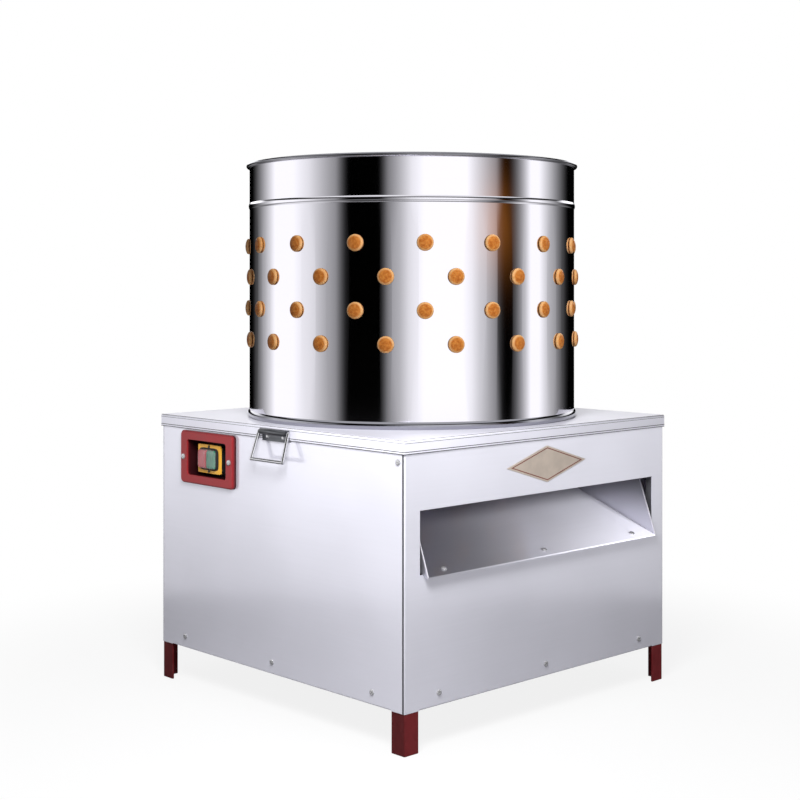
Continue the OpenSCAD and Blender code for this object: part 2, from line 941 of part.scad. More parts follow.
// Rubber finger along +Z, with the outer face of its wall at z = 0 and its head below
module finger(neck) {
  head_r = head_d / 2;
  foot = neck - seat_gap + shoulder_h;
  length_in = finger_len - head_h - seat_gap;
  rib_pitch = (length_in - foot - tip_round) / rib_count;
  rotate_extrude() {
    translate([0, -seat_gap - head_h]) {
      square([head_r - head_round, head_h]);
      translate([0, head_round]) square([head_r, head_h - head_round]);
      translate([head_r - head_round, head_round]) intersection() {
        circle(head_round);
        translate([0, -head_round]) square(head_round);
      }
    }
    polygon([
      [0, -seat_gap - eps],
      [finger_hole_d / 2 - seat_gap, -seat_gap - eps],
      [finger_hole_d / 2 - seat_gap, neck - seat_gap],
      [shoulder_d / 2, neck - seat_gap],
      [shoulder_d / 2, foot - shoulder_h / 2],
      [root_d / 2, foot],
      for (i = [0 : rib_count - 1], step = [[rib_foot, 0], [rib_start, rib_out], [rib_end, rib_out], [1, 0]])
        [finger_r(i + step[0]) + step[1], foot + (i + step[0]) * rib_pitch],
      [tip_d / 2 - tip_round, length_in],
      [0, length_in]
    ]);
  }
}

function finger_r(ribs) = (root_d + (tip_d - root_d) * ribs / rib_count) / 2;

module wall_fingers(row) {
  color(amber) finger_places(row) finger(wall_neck);
}

module wall_fingers_row_1() {
  wall_fingers(1);
}

module wall_fingers_row_2() {
  wall_fingers(2);
}

module wall_fingers_row_3() {
  wall_fingers(3);
}

module wall_fingers_row_4() {
  wall_fingers(4);
}

// Finger plate and main shaft

module plate_finger_places() {
  for (ring = plate_rings, i = [0 : ring[1] - 1])
    rotate([0, 0, (i + ring[0] / 2) * 360 / ring[1]])
      translate([plate_r - ring_edge - ring[0] * ring_pitch, 0, plate_bottom]) children();
}

module hub_bolt_places() {
  for (i = [0 : hub_bolt_count - 1])
    rotate([0, 0, i * 360 / hub_bolt_count]) translate([hub_pcd / 2, 0, plate_top]) children();
}

module turntable() {
  color(bright_steel) difference() {
    translate([0, 0, plate_bottom]) cylinder(r = plate_r, h = plate_t);
    translate([0, 0, plate_bottom - eps]) cylinder(d = stub_d + 2 * slip_fit, h = plate_t + 2 * eps);
    plate_finger_places() translate([0, 0, -head_h]) cylinder(d = finger_hole_d, h = 2 * head_h);
    hub_bolt_places() translate([0, 0, -2 * plate_t]) cylinder(d = bolt_d + loose_fit, h = 3 * plate_t);
  }
}

module turntable_hub() {
  color(dark_metal) difference() {
    union() {
      translate([0, 0, plate_bottom - hub_flange_t]) cylinder(d = hub_flange_d, h = hub_flange_t);
      translate([0, 0, hub_bottom]) cylinder(d = hub_boss_d, h = hub_l);
    }
    translate([0, 0, hub_bottom - eps]) cylinder(d = shaft_d + 2 * slip_fit, h = hub_l + 2 * eps);
    hub_bolt_places() translate([0, 0, -plate_t - hub_flange_t - eps])
      cylinder(d = bolt_d + loose_fit, h = hub_flange_t + 2 * eps);
  }
}

module hub_bolts() {
  color(bright_steel) hub_bolt_places() hex_bolt(bolt_d, bolt_head_d, plate_t + hub_flange_t);
}

module plate_fingers() {
  color(amber) plate_finger_places() finger(plate_neck);
}

module main_shaft() {
  color(bright_steel) {
    translate([0, 0, shaft_bottom]) cylinder(d = shaft_d, h = plate_bottom - shaft_bottom);
    translate([0, 0, plate_bottom]) cylinder(d = stub_d, h = stub_l);
  }
}

module shaft_nut() {
  color(bright_steel) translate([0, 0, plate_top]) difference() {
    union() {
      cylinder(d = nut_d, h = nut_h, $fn = 6);
      cylinder(d = washer_d, h = washer_t);
    }
    translate([0, 0, -eps]) cylinder(d = stub_d + 2 * slip_fit, h = nut_h + 2 * eps);
  }
}

// Bearings

module housing_bolt_places() {
  for (x = [-1, 1], y = [-1, 1])
    translate([x * housing_pitch / 2, y * housing_pitch / 2, 0]) children();
}

module bearing_housing(base) {
  color("#5f6a66") translate([0, 0, base]) difference() {
    union() {
      linear_extrude(housing_flange_t) rounded_rect(housing_w, housing_w, bolt_head_d / 2);
      cylinder(d = housing_boss_d, h = housing_h);
    }
    translate([0, 0, housing_lip]) cylinder(d = bearing_d + 2 * slip_fit, h = housing_h);
    translate([0, 0, -eps]) cylinder(d = bearing_d - 2 * housing_wall, h = housing_h);
    housing_bolt_places() translate([0, 0, -eps]) cylinder(d = bolt_d + loose_fit, h = housing_h);
  }
}

module bearing(base) {
  color(bright_steel) translate([0, 0, base + housing_lip]) difference() {
    cylinder(d = bearing_d, h = bearing_h);
    translate([0, 0, -eps]) cylinder(d = shaft_d + 2 * slip_fit, h = bearing_h + 2 * eps);
  }
}

module upper_bearing_housing() {
  bearing_housing(upper_bar_top);
}

module lower_bearing_housing() {
  bearing_housing(lower_bar_top);
}

module upper_bearing() {
  bearing(upper_bar_top);
}

module lower_bearing() {
  bearing(lower_bar_top);
}

module bearing_bolts() {
  color(bright_steel) for (base = [upper_bar_top, lower_bar_top])
    translate([0, 0, base + housing_flange_t]) housing_bolt_places()
      hex_bolt(bolt_d, bolt_head_d, housing_flange_t + angle_t);
}

// Motor and belt drive

module at_motor() {
  translate([0, motor_y, 0]) children();
}

module plate_bolt_places() {
  at_motor() for (x = [-1, 1], y = [-1, 1])
    translate([x * (motor_plate_w / 2 - bolt_head_d / 2 - motor_plate_edge), y * motor_bar_y, 0]) children();
}

module motor_bolt_ring() {
  for (side = [0, 180], a = [-motor_bolt_turn, motor_bolt_turn])
    rotate([0, 0, side + a]) translate([motor_bolt_r, 0, 0]) children();
}

module motor_bolt_places() {
  at_motor() motor_bolt_ring() children();
}

module motor_plate() {
  color(maroon) difference() {
    translate([-motor_plate_w / 2, motor_y - motor_plate_l / 2, lower_bar_top])
      cube([motor_plate_w, motor_plate_l, motor_plate_t]);
    at_motor() translate([0, 0, lower_bar_top - eps])
      cylinder(d = motor_plate_hole_d, h = motor_plate_t + 2 * eps);
    translate([0, 0, lower_bar_top - eps]) {
      motor_bolt_places() cylinder(d = motor_bolt_d + loose_fit, h = motor_plate_t + 2 * eps);
      plate_bolt_places() cylinder(d = bolt_d + loose_fit, h = motor_plate_t + 2 * eps);
    }
  }
}

module motor_fins() {
  for (i = [0 : fin_count - 1])
    rotate((i + 0.5) * 360 / fin_count) translate([0, -fin_w / 2]) square([motor_d / 2, fin_w]);
}

module motor_body() {
  stack_h = motor_body_top - motor_base;
  color("#3f5a5c") at_motor() translate([0, 0, motor_base]) difference() {
    union() {
      cylinder(d = motor_flange_d, h = motor_flange_t);
      linear_extrude(stack_h - end_bell_h) {
        circle(d = motor_core_d);
        motor_fins();
        square([2 * pad_out, pad_w], center = true);
      }
      cylinder(d = motor_core_d, h = stack_h);
    }
    translate([0, 0, -eps]) cylinder(d = motor_shaft_d + 2 * slip_fit, h = stack_h + 2 * eps);
    motor_bolt_ring() translate([0, 0, -eps])
      cylinder(d = motor_bolt_d + loose_fit, h = motor_flange_t + 2 * eps);
  }
}

module motor_fan_cover() {
  cover_bottom = motor_body_top - end_bell_h / 2;
  h = motor_base + motor_h - cover_bottom;
  color("#2f3a3c") at_motor() translate([0, 0, cover_bottom]) difference() {
    cylinder(d = motor_core_d + 2 * loose_fit + 2 * fan_cover_t, h = h);
    translate([0, 0, -eps]) cylinder(d = motor_core_d + 2 * loose_fit, h = h - fan_cover_t);
    for (i = [0 : vent_count - 1]) rotate([0, 0, i * 360 / vent_count])
      translate([vent_r, -vent_w / 2, h - 2 * fan_cover_t]) cube([vent_l, vent_w, 3 * fan_cover_t]);
  }
}

module terminal_box() {
  color("#2f3a3c") at_motor()
    translate([pad_out, -terminal_box_size[1] / 2, motor_base + terminal_box_rise]) cube(terminal_box_size);
}

module capacitor() {
  r = capacitor_d / 2;
  color("#1f2224") at_motor() translate([-pad_out - r, 0, motor_base + capacitor_rise]) {
    cylinder(r = r, h = capacitor_l);
    translate([0, -r, 0]) cube([r, capacitor_d, capacitor_l]);
  }
}

module motor_bolts() {
  color(bright_steel) {
    translate([0, 0, motor_base + motor_flange_t]) motor_bolt_places()
      hex_bolt(motor_bolt_d, motor_bolt_head_d, motor_flange_t + motor_plate_t);
    translate([0, 0, motor_base]) plate_bolt_places()
      hex_bolt(bolt_d, bolt_head_d, motor_plate_t + angle_t);
  }
}

module motor_shaft() {
  color(bright_steel) at_motor() translate([0, 0, shaft_bottom])
    cylinder(d = motor_shaft_d, h = motor_base + motor_h - shaft_end_gap - shaft_bottom);
}

module motor_fan() {
  fan_r = motor_core_d / 2 - fan_tip_gap;
  hub_r = motor_shaft_d / 2 + fan_hub_wall;
  color("#30343a") at_motor() translate([0, 0, motor_body_top + fan_gap]) difference() {
    union() {
      cylinder(r = hub_r, h = fan_h);
      cylinder(r = fan_r, h = blade_t);
      for (i = [0 : blade_count - 1]) rotate([0, 0, i * 360 / blade_count])
        translate([hub_r - blade_t, -blade_t / 2, blade_t / 2])
          cube([fan_r - hub_r, blade_t, fan_h - blade_t]);
    }
    translate([0, 0, -eps]) cylinder(d = motor_shaft_d + 2 * slip_fit, h = fan_h + 2 * eps);
  }
}

// Half section of a pulley rim with a belt groove, from inner_r outwards
module pulley_rim(pitch_d, inner_r) {
  outer_r = pitch_d / 2 + pitch_depth;
  groove_r = pitch_d / 2 - belt_h + pitch_depth - loose_fit - groove_room;
  mouth = belt_w / 2 + 2 * loose_fit;
  foot = mouth - (outer_r - groove_r) * tan(groove_angle);
  polygon([
    [inner_r, -pulley_w / 2],
    [outer_r, -pulley_w / 2],
    [outer_r, -mouth],
    [groove_r, -foot],
    [groove_r, foot],
    [outer_r, mouth],
    [outer_r, pulley_w / 2],
    [inner_r, pulley_w / 2]
  ]);
}

module driven_pulley() {
  rim_in = driven_pd / 2 - rim_t;
  hub_r = shaft_d / 2 + pulley_hub_wall;
  hole_d = rim_in - hub_r - 2 * pulley_hole_edge;
  color(dark_metal) translate([0, 0, pulley_z]) difference() {
    union() {
      rotate_extrude() pulley_rim(driven_pd, rim_in);
      translate([0, 0, -web_t / 2]) cylinder(r = rim_in + eps, h = web_t);
      translate([0, 0, -pulley_w / 2 - pulley_hub_tail]) cylinder(r = hub_r, h = pulley_w + pulley_hub_tail);
    }
    translate([0, 0, -pulley_w]) cylinder(d = shaft_d + 2 * slip_fit, h = 2 * pulley_w);
    for (i = [0 : pulley_hole_count - 1]) rotate([0, 0, i * 360 / pulley_hole_count])
      translate([(rim_in + hub_r) / 2, 0, -pulley_w]) cylinder(d = hole_d, h = 2 * pulley_w);
  }
}

module motor_pulley() {
  color(dark_metal) at_motor() translate([0, 0, pulley_z])
    rotate_extrude() pulley_rim(motor_pd, motor_shaft_d / 2 + slip_fit);
}

// Section of the belt on a pulley of the given pitch radius
module belt_section(pitch_r, inset) {
  top = pitch_r + pitch_depth - inset;
  foot = pitch_r + pitch_depth - belt_h + inset;
  polygon([
    [top, inset - belt_w / 2],
    [top, belt_w / 2 - inset],
    [foot, belt_foot_w / 2 - inset],
    [foot, inset - belt_foot_w / 2]
  ]);
}

// Stretch of the belt round a pulley
module belt_arc(pitch_d, from, sweep) {
  rotate([0, 0, from]) rotate_extrude(angle = sweep) belt_section(pitch_d / 2, 0);
}

// Straight run between the pulleys, a little slimmer so that its ends seat inside the arcs
module belt_run() {
  rotate([0, 0, tangent_angle]) rotate([90, 0, 0]) translate([0, 0, -span_l - belt_lap])
    linear_extrude(span_l + 2 * belt_lap) belt_section(driven_pd / 2, belt_inset);
}

module drive_belt() {
  color("#232323") translate([0, 0, pulley_z]) {
    belt_arc(driven_pd, 180 - tangent_angle, 180 + 2 * tangent_angle);
    at_motor() belt_arc(motor_pd, tangent_angle, 180 - 2 * tangent_angle);
    on_both_sides() belt_run();
  }
}

// Switch

module at_switch(out) {
  on_switch_face() translate([-switch_y, switch_z, out]) children();
}

module switch_bezel() {
  color("#b93c3c") difference() {
    at_switch(0) difference() {
      union() {
        linear_extrude(bezel_out - bezel_step) rounded_rect(bezel_w, bezel_h, bezel_round);
        linear_extrude(bezel_out)
          rounded_rect(bezel_w - 2 * bezel_step, bezel_h - 2 * bezel_step, bezel_round - bezel_step);
      }
      translate([0, 0, -eps]) linear_extrude(bezel_out + 2 * eps)
        rounded_rect(window_w, window_h, window_round);
    }
    bezel_screw_places() screw_hole();
  }
}

// Open box let into the panel behind the frame
module switch_box() {
  color("#2a1416") at_switch(-switch_box_d) difference() {
    linear_extrude(switch_box_d)
      rounded_rect(window_w + 2 * box_wall, window_h + 2 * box_wall, window_round + box_wall);
    translate([0, 0, box_wall]) linear_extrude(switch_box_d)
      rounded_rect(window_w, window_h, window_round);
  }
}

module button_places() {
  for (s = [-1, 1]) translate([s * (button_w + button_gap) / 2, 0, 0]) children();
}

module button_pocket() {
  square([button_w + 2 * button_fit, button_h + 2 * button_fit], center = true);
}

module switch_body() {
  body_h = switch_box_d - box_wall + face_out - face_t;
  pocket = button_depth - face_t + button_travel + pocket_room;
  color("#26262a") at_switch(-switch_box_d + box_wall) difference() {
    linear_extrude(body_h) square([face_w - 2 * face_edge, face_h - 2 * face_edge], center = true);
    translate([0, 0, body_h - pocket]) linear_extrude(pocket + eps) button_places() button_pocket();
  }
}

module switch_faceplate() {
  color("#ebb446") at_switch(face_out - face_t) linear_extrude(face_t) difference() {
    rounded_rect(face_w, face_h, face_round);
    button_places() button_pocket();
  }
}

// Clear boot over both buttons
module switch_cover() {
  w = 2 * button_w + button_gap + 2 * clear_gap;
  h = button_h + 2 * clear_gap;
  depth = button_out + clear_gap;
  color("#e8e8ea", 0.4) at_switch(face_out) difference() {
    linear_extrude(depth + clear_t) rounded_rect(w + 2 * clear_t, h + 2 * clear_t, clear_round + clear_t);
    translate([0, 0, -eps]) linear_extrude(depth + eps) rounded_rect(w, h, clear_round);
  }
}

module button(side, paint) {
  color(paint) at_switch(face_out - button_depth) translate([side * (button_w + button_gap) / 2, 0, 0]) {
    linear_extrude(button_depth + button_out - button_step) rounded_rect(button_w, button_h, button_round);
    linear_extrude(button_depth + button_out)
      rounded_rect(button_w - 2 * button_edge, button_h - 2 * button_edge, button_round);
  }
}

module stop_button() {
  button(-1, "#c02a2c");
}

module start_button() {
  button(1, "#1f8a4c");
}

// Handles

// Turns to the left handle: x out of the skirt, y along the pivot, z up, with the origin on the skirt
module at_left_handle() {
  translate([-cover_w / 2, -handle_forward, 0]) mirror([1, 0, 0]) children();
}

module handle_plate() {
  difference() {
    union() {
      translate([0, -handle_w / 2, handle_top - handle_h]) cube([handle_t, handle_w, handle_h]);
      translate([0, -handle_w / 2, pivot_z]) cube([pivot_out, handle_w, knuckle_d / 2]);
      translate([pivot_out, -handle_w / 2, pivot_z]) rotate([-90, 0, 0])
        cylinder(d = knuckle_d, h = handle_w);
    }
    translate([pivot_out, -handle_w, pivot_z]) rotate([-90, 0, 0])
      cylinder(d = wire_d + 2 * slip_fit, h = 2 * handle_w);
  }
}

module left_handle_plate() {
  color(dark_metal) difference() {
    at_left_handle() handle_plate();
    handle_rivet_places() rivet_hole();
  }
}

module right_handle_plate() {
  color(dark_metal) difference() {
    mirror([1, 0, 0]) at_left_handle() handle_plate();
    handle_rivet_places() rivet_hole();
  }
}

module handle_rivet_places() {
  on_both_sides() at_left_handle() for (s = [-1, 1])
    translate([handle_t, s * (handle_w / 2 - rivet_inset), handle_top - handle_h + rivet_rise])
      rotate([0, 90, 0]) children();
}

module rivet_hole() {
  translate([0, 0, -3 * handle_t]) cylinder(d = rivet_d + loose_fit, h = 6 * handle_t);
}

module handle_rivets() {
  grip = handle_t + cover_t;
  color(bright_steel) handle_rivet_places() {
    cylinder(d1 = rivet_head_d, d2 = rivet_top_d, h = rivet_head_h);
    translate([0, 0, -grip]) cylinder(d = rivet_d, h = grip);
  }
}

// Wire loop with its ends turned into the knuckle
module bail() {
  leg_turn = atan(bail_flare / bail_drop);
  foot_half = bail_half + bail_flare;
  pin_start = handle_w / 2 - pin_l;
  translate([pivot_out, 0, pivot_z]) rotate([0, -bail_rest, 0]) {
    for (m = [0, 1]) mirror([0, m, 0]) {
      translate([0, pin_start, 0]) rotate([-90, 0, 0]) cylinder(d = wire_d, h = bail_half - pin_start);
      translate([0, bail_half, 0]) sphere(d = corner_d);
      translate([0, bail_half, 0]) rotate([180 + leg_turn, 0, 0])
        cylinder(d = wire_d, h = norm([bail_flare, bail_drop]));
      translate([0, foot_half, -bail_drop]) sphere(d = corner_d);
    }
    translate([0, -foot_half, -bail_drop]) rotate([-90, 0, 0]) cylinder(d = wire_d, h = 2 * foot_half);
  }
}

module left_bail() {
  color(bright_steel) at_left_handle() bail();
}

module right_bail() {
  color(bright_steel) mirror([1, 0, 0]) at_left_handle() bail();
}

// Plates

module nameplate() {
  color("#c8bda6") on_outlet_face() translate([nameplate_x, nameplate_z, 0])
    linear_extrude(nameplate_t) polygon([
      [-nameplate_w / 2, 0],
      [0, -nameplate_h / 2],
      [nameplate_w / 2, 0],
      [0, nameplate_h / 2]
    ]);
}

module gland_place() {
  on_back_face() translate([gland_x, gland_z, 0]) children();
}

module cable_gland() {
  color("#2b2d30") gland_place() difference() {
    union() {
      cylinder(d = gland_hex_d, h = gland_hex_h, $fn = 6);
      cylinder(d = gland_cap_d, h = gland_out);
      translate([0, 0, -gland_in]) cylinder(d = gland_thread_d, h = gland_in + eps);
      translate([0, 0, -sheet_t - gland_nut_h]) cylinder(d = gland_hex_d, h = gland_nut_h, $fn = 6);
    }
    translate([0, 0, -gland_in - eps]) cylinder(d = gland_bore_d, h = gland_in + gland_out + 2 * eps);
  }
}

front_left_leg();
front_right_leg();
back_left_leg();
back_right_leg();
top_rails();
bottom_rails();
mid_rails();
upper_bearing_bars();
lower_bearing_bars();
motor_bars();
outlet_panel();
switch_panel();
right_panel();
back_panel();
panel_screws();
chute();
shaft_collar();
cover();
drum();
drum_foot_ring();
wall_fingers_row_1();
wall_fingers_row_2();
wall_fingers_row_3();
wall_fingers_row_4();
upper_bearing_housing();
lower_bearing_housing();
upper_bearing();
lower_bearing();
bearing_bolts();
motor_plate();
motor_body();
motor_fan_cover();
terminal_box();
capacitor();
motor_bolts();
drive_belt();
switch_bezel();
switch_box();
switch_body();
switch_faceplate();
switch_cover();
left_handle_plate();
right_handle_plate();
handle_rivets();
nameplate();
cable_gland();
turntable();
turntable_hub();
hub_bolts();
plate_fingers();
main_shaft();
shaft_nut();
driven_pulley();
motor_shaft();
motor_pulley();
motor_fan();
left_bail();
right_bail();
stop_button();
start_button();
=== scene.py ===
"""Poultry plucker: finishes, detail pieces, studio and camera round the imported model. Metres, +Z up."""

import json
import math

import bmesh
import bpy
from mathutils import Matrix, Vector


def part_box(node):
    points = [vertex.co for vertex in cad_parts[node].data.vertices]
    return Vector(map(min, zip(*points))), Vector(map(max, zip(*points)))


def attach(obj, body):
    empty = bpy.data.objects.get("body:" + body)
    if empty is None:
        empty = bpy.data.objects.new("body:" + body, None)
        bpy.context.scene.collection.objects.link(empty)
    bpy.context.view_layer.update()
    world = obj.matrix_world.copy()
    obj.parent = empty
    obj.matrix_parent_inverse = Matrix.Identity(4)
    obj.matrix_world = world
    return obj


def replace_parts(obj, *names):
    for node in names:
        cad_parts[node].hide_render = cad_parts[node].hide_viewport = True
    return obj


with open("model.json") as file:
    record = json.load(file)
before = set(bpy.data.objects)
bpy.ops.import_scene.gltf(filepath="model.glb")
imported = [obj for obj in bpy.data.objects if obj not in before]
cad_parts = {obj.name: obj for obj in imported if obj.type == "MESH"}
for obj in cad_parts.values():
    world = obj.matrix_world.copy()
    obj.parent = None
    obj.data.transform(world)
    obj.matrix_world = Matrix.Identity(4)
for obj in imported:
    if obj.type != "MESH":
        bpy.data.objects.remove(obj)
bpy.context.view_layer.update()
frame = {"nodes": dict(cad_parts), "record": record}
nodes = frame["nodes"]

MM = 0.001


# Shader nodes

# Range in which most of a noise lies
NOISE_LOW = 0.3
NOISE_HIGH = 0.7


def rgba(color):
    return (*color, 1.0)


def grey(level):
    return rgba((level, level, level))


def tint(color, factor):
    return rgba([min(1.0, channel * factor) for channel in color])


class Tree:
    """A node tree with short calls for adding and linking nodes."""

    def __init__(self, tree):
        self.tree = tree

    def add(self, kind, **settings):
        node = self.tree.nodes.new("ShaderNode" + kind)
        for key, value in settings.items():
            setattr(node, key, value)
        return node

    def feed(self, socket, source):
        """Link an output to a socket, or set the socket to a plain value."""
        if isinstance(source, bpy.types.NodeSocket):
            self.tree.links.new(source, socket)
        elif source is not None:
            socket.default_value = source

    def math(self, operation, first, second, clamp=False):
        node = self.add("Math", operation=operation, use_clamp=clamp)
        self.feed(node.inputs[0], first)
        self.feed(node.inputs[1], second)
        return node.outputs[0]

    def vector(self, operation, first, second=None, output="Vector"):
        node = self.add("VectorMath", operation=operation)
        self.feed(node.inputs[0], first)
        self.feed(node.inputs[1], second)
        return node.outputs[output]

    def parts(self, vector):
        """The X, Y and Z outputs of a vector."""
        node = self.add("SeparateXYZ")
        self.feed(node.inputs[0], vector)
        return node.outputs

    def span(self, value, low, high, to_low=0.0, to_high=1.0):
        """Map a value smoothly from one range to another, held at both ends."""
        node = self.add("MapRange", interpolation_type="SMOOTHSTEP")
        for socket, source in zip(node.inputs, (value, low, high, to_low, to_high)):
            self.feed(socket, source)
        return node.outputs[0]

    def spread(self, noise, to_low=0.0, to_high=1.0, low=NOISE_LOW, high=NOISE_HIGH):
        """Map a noise to a range, by default from where most of it lies."""
        return self.span(noise, low, high, to_low, to_high)

    def place(self, stretch=(1.0, 1.0, 1.0)):
        """The object's own coordinates in metres, scaled along each axis."""
        coordinates = self.add("TexCoord")
        return self.vector("MULTIPLY", coordinates.outputs["Object"], stretch)

    def noise(self, scale, stretch=(1.0, 1.0, 1.0), detail=3.0, roughness=0.55):
        node = self.add("TexNoise")
        self.feed(node.inputs["Vector"], self.place(stretch))
        self.feed(node.inputs["Scale"], scale)
        self.feed(node.inputs["Detail"], detail)
        self.feed(node.inputs["Roughness"], roughness)
        return node.outputs["Fac"]

    def blend(self, share, first, second, blend_type="MIX"):
        """Mix two colours."""
        node = self.add("Mix", data_type="RGBA", blend_type=blend_type)
        self.feed(node.inputs["Factor"], share)
        self.feed(node.inputs[6], first)
        self.feed(node.inputs[7], second)
        return node.outputs[2]

    def vary(self, share, color, dark, light):
        """A colour between a darker and a lighter tint of itself."""
        return self.blend(share, tint(color, dark), tint(color, light))

    def bump(self, height, distance, normal=None):
        node = self.add("Bump")
        self.feed(node.inputs["Height"], height)
        self.feed(node.inputs["Distance"], distance)
        self.feed(node.inputs["Normal"], normal)
        return node.outputs["Normal"]


def new_material(name, **constants):
    """A Principled material with some of its sockets set to plain values."""
    material = bpy.data.materials.new(name)
    material.use_nodes = True
    shader = material.node_tree.nodes["Principled BSDF"]
    for socket, value in constants.items():
        shader.inputs[socket.replace("_", " ")].default_value = value
    return material, Tree(material.node_tree), shader


def coat(tree, shader, color, rough, normal):
    """Link the colour, roughness and normal of a shader."""
    tree.feed(shader.inputs["Base Color"], color)
    tree.feed(shader.inputs["Roughness"], rough)
    tree.feed(shader.inputs["Normal"], normal)


# Materials

GRAIN_SHARE = 0.16
CLEAN_ROUGH = 0.94
SMUDGED_ROUGH = 1.08
WORN_EDGE_R = 1.2 * MM
FACE_FLATNESS = 0.995
EDGE_FLATNESS = 0.86
AMBER_DEEP = ((0.31, 0.088, 0.013), (0.47, 0.172, 0.034))
AMBER_PALE = ((0.68, 0.40, 0.18), (0.50, 0.235, 0.075))
BELT_TONES = ((0.012, 0.012, 0.013), (0.05, 0.048, 0.045))
BOOT_TONES = ((0.62, 0.58, 0.60), (0.85, 0.82, 0.84))


def sheet_steel(name, color, rough, grain, wave_depth, cloud=0.04, metal=1.0):
    """Stainless sheet: grain and faint clouds in its tone, smudges in its gloss, slight waves in its face."""
    material, tree, shader = new_material(name, Metallic=metal)
    brush = tree.noise(scale=1.0, stretch=grain, detail=2.0)
    clouds = tree.noise(scale=3.2, detail=2.0)
    smudges = tree.noise(scale=8.0, stretch=(1.0, 1.0, 0.5), detail=1.0)
    waves = tree.noise(scale=5.0, detail=1.0)
    tone = tree.math("ADD", clouds, tree.math("MULTIPLY", brush, GRAIN_SHARE))
    coat(
        tree, shader,
        color=tree.vary(tree.spread(tone, low=0.36, high=0.80), color, dark=1 - cloud, light=1 + cloud),
        rough=tree.spread(smudges, CLEAN_ROUGH * rough, SMUDGED_ROUGH * rough),
        normal=tree.bump(waves, wave_depth),
    )
    return material


def painted(name, color, rough, worn_color, wear):
    """Sprayed paint with a little orange peel, patches in its tone and thin spots where edges rub."""
    material, tree, shader = new_material(name, Specular_IOR_Level=0.2)
    peel = tree.noise(scale=260.0, detail=1.0)
    patches = tree.noise(scale=26.0, detail=5.0, roughness=0.7)
    bevel = tree.add("Bevel", samples=4)
    tree.feed(bevel.inputs["Radius"], WORN_EDGE_R)
    rounded = bevel.outputs["Normal"]
    plain = tree.add("NewGeometry").outputs["Normal"]
    flatness = tree.vector("DOT_PRODUCT", rounded, plain, output="Value")
    edge = tree.span(flatness, FACE_FLATNESS, EDGE_FLATNESS)
    chips = tree.math("MULTIPLY", edge, tree.spread(patches, low=0.5, high=0.68), clamp=True)
    shade = tree.vary(tree.spread(patches), color, dark=0.82, light=1.16)
    coat(
        tree, shader,
        color=tree.blend(tree.math("MULTIPLY", chips, wear), shade, rgba(worn_color)),
        rough=tree.spread(patches, to_low=rough - 0.06, to_high=rough + 0.1, high=0.75),
        normal=tree.bump(peel, distance=0.06 * MM, normal=rounded),
    )
    return material


def moulded(name, color, rough, grain_depth=0.02 * MM):
    """Moulded plastic with a fine eroded grain and slight flow marks."""
    material, tree, shader = new_material(name, Specular_IOR_Level=0.32)
    flow = tree.noise(scale=34.0, stretch=(1.0, 1.0, 0.4))
    grains = tree.noise(scale=600.0, detail=2.0)
    coat(
        tree, shader,
        color=tree.vary(tree.spread(flow), color, dark=0.94, light=1.06),
        rough=tree.spread(flow, to_low=rough - 0.04, to_high=rough + 0.06),
        normal=tree.bump(grains, grain_depth),
    )
    return material


def cast_metal(name, color, rough):
    """Painted casting with a sandy skin."""
    material, tree, shader = new_material(name, Metallic=0.35)
    sand = tree.noise(scale=420.0, detail=4.0, roughness=0.7)
    stains = tree.noise(scale=18.0, detail=4.0)
    coat(
        tree, shader,
        color=tree.vary(tree.spread(stains), color, dark=0.75, light=1.3),
        rough=tree.spread(stains, to_low=rough, to_high=rough + 0.18),
        normal=tree.bump(sand, distance=0.25 * MM),
    )
    return material


def turned_metal(name, color, rough, grain=(60.0, 60.0, 2400.0), metal=1.0):
    """Turned or drawn bright metal with fine tool marks."""
    material, tree, shader = new_material(name, Metallic=metal)
    marks = tree.noise(scale=1.0, stretch=grain, detail=2.0)
    stains = tree.noise(scale=30.0)
    coat(
        tree, shader,
        color=tree.vary(tree.spread(stains, low=0.35), color, dark=0.92, light=1.06),
        rough=tree.spread(marks, to_low=rough - 0.04, to_high=rough + 0.05),
        normal=tree.bump(marks, distance=0.02 * MM),
    )
    return material


def finger_rubber(name):
    """Amber rubber: mottled and a little translucent, with a painted highlight that makes it paler where the
    moulding rounds over.
    """
    material, tree, shader = new_material(
        name, Subsurface_Weight=0.1, Subsurface_Scale=0.003, Subsurface_Radius=(1.0, 0.45, 0.15),
        Specular_IOR_Level=0.15,
    )
    rim = tree.add("Attribute", attribute_name="paleness").outputs["Fac"]
    mottle = tree.noise(scale=190.0, detail=5.0, roughness=0.75)
    bloom = tree.noise(scale=46.0)
    deep = tree.blend(tree.spread(mottle, low=0.36, high=0.64), *map(rgba, AMBER_DEEP))
    pale = tree.blend(tree.spread(bloom, low=0.35), *map(rgba, AMBER_PALE))
    highlight_patchiness = tree.spread(bloom, to_low=0.55, low=0.2, high=0.6)
    # The painted highlight: paleness on rims and crests, made patchy by the bloom noise.
    share = tree.math("MULTIPLY", rim, highlight_patchiness, clamp=True)
    coat(
        tree, shader,
        color=tree.blend(share, deep, pale),
        rough=tree.spread(bloom, to_low=0.36, to_high=0.52),
        normal=tree.bump(mottle, distance=0.35 * MM),
    )
    return material


def belt_rubber(name):
    """Black fabric-covered rubber."""
    material, tree, shader = new_material(name)
    dust = tree.noise(scale=60.0, detail=4.0)
    cloth = tree.noise(scale=900.0, detail=1.0)
    coat(
        tree, shader,
        color=tree.blend(tree.spread(dust, low=0.45, high=0.8), *map(rgba, BELT_TONES)),
        rough=tree.spread(dust, to_low=0.6, to_high=0.85),
        normal=tree.bump(cloth, distance=0.08 * MM),
    )
    return material


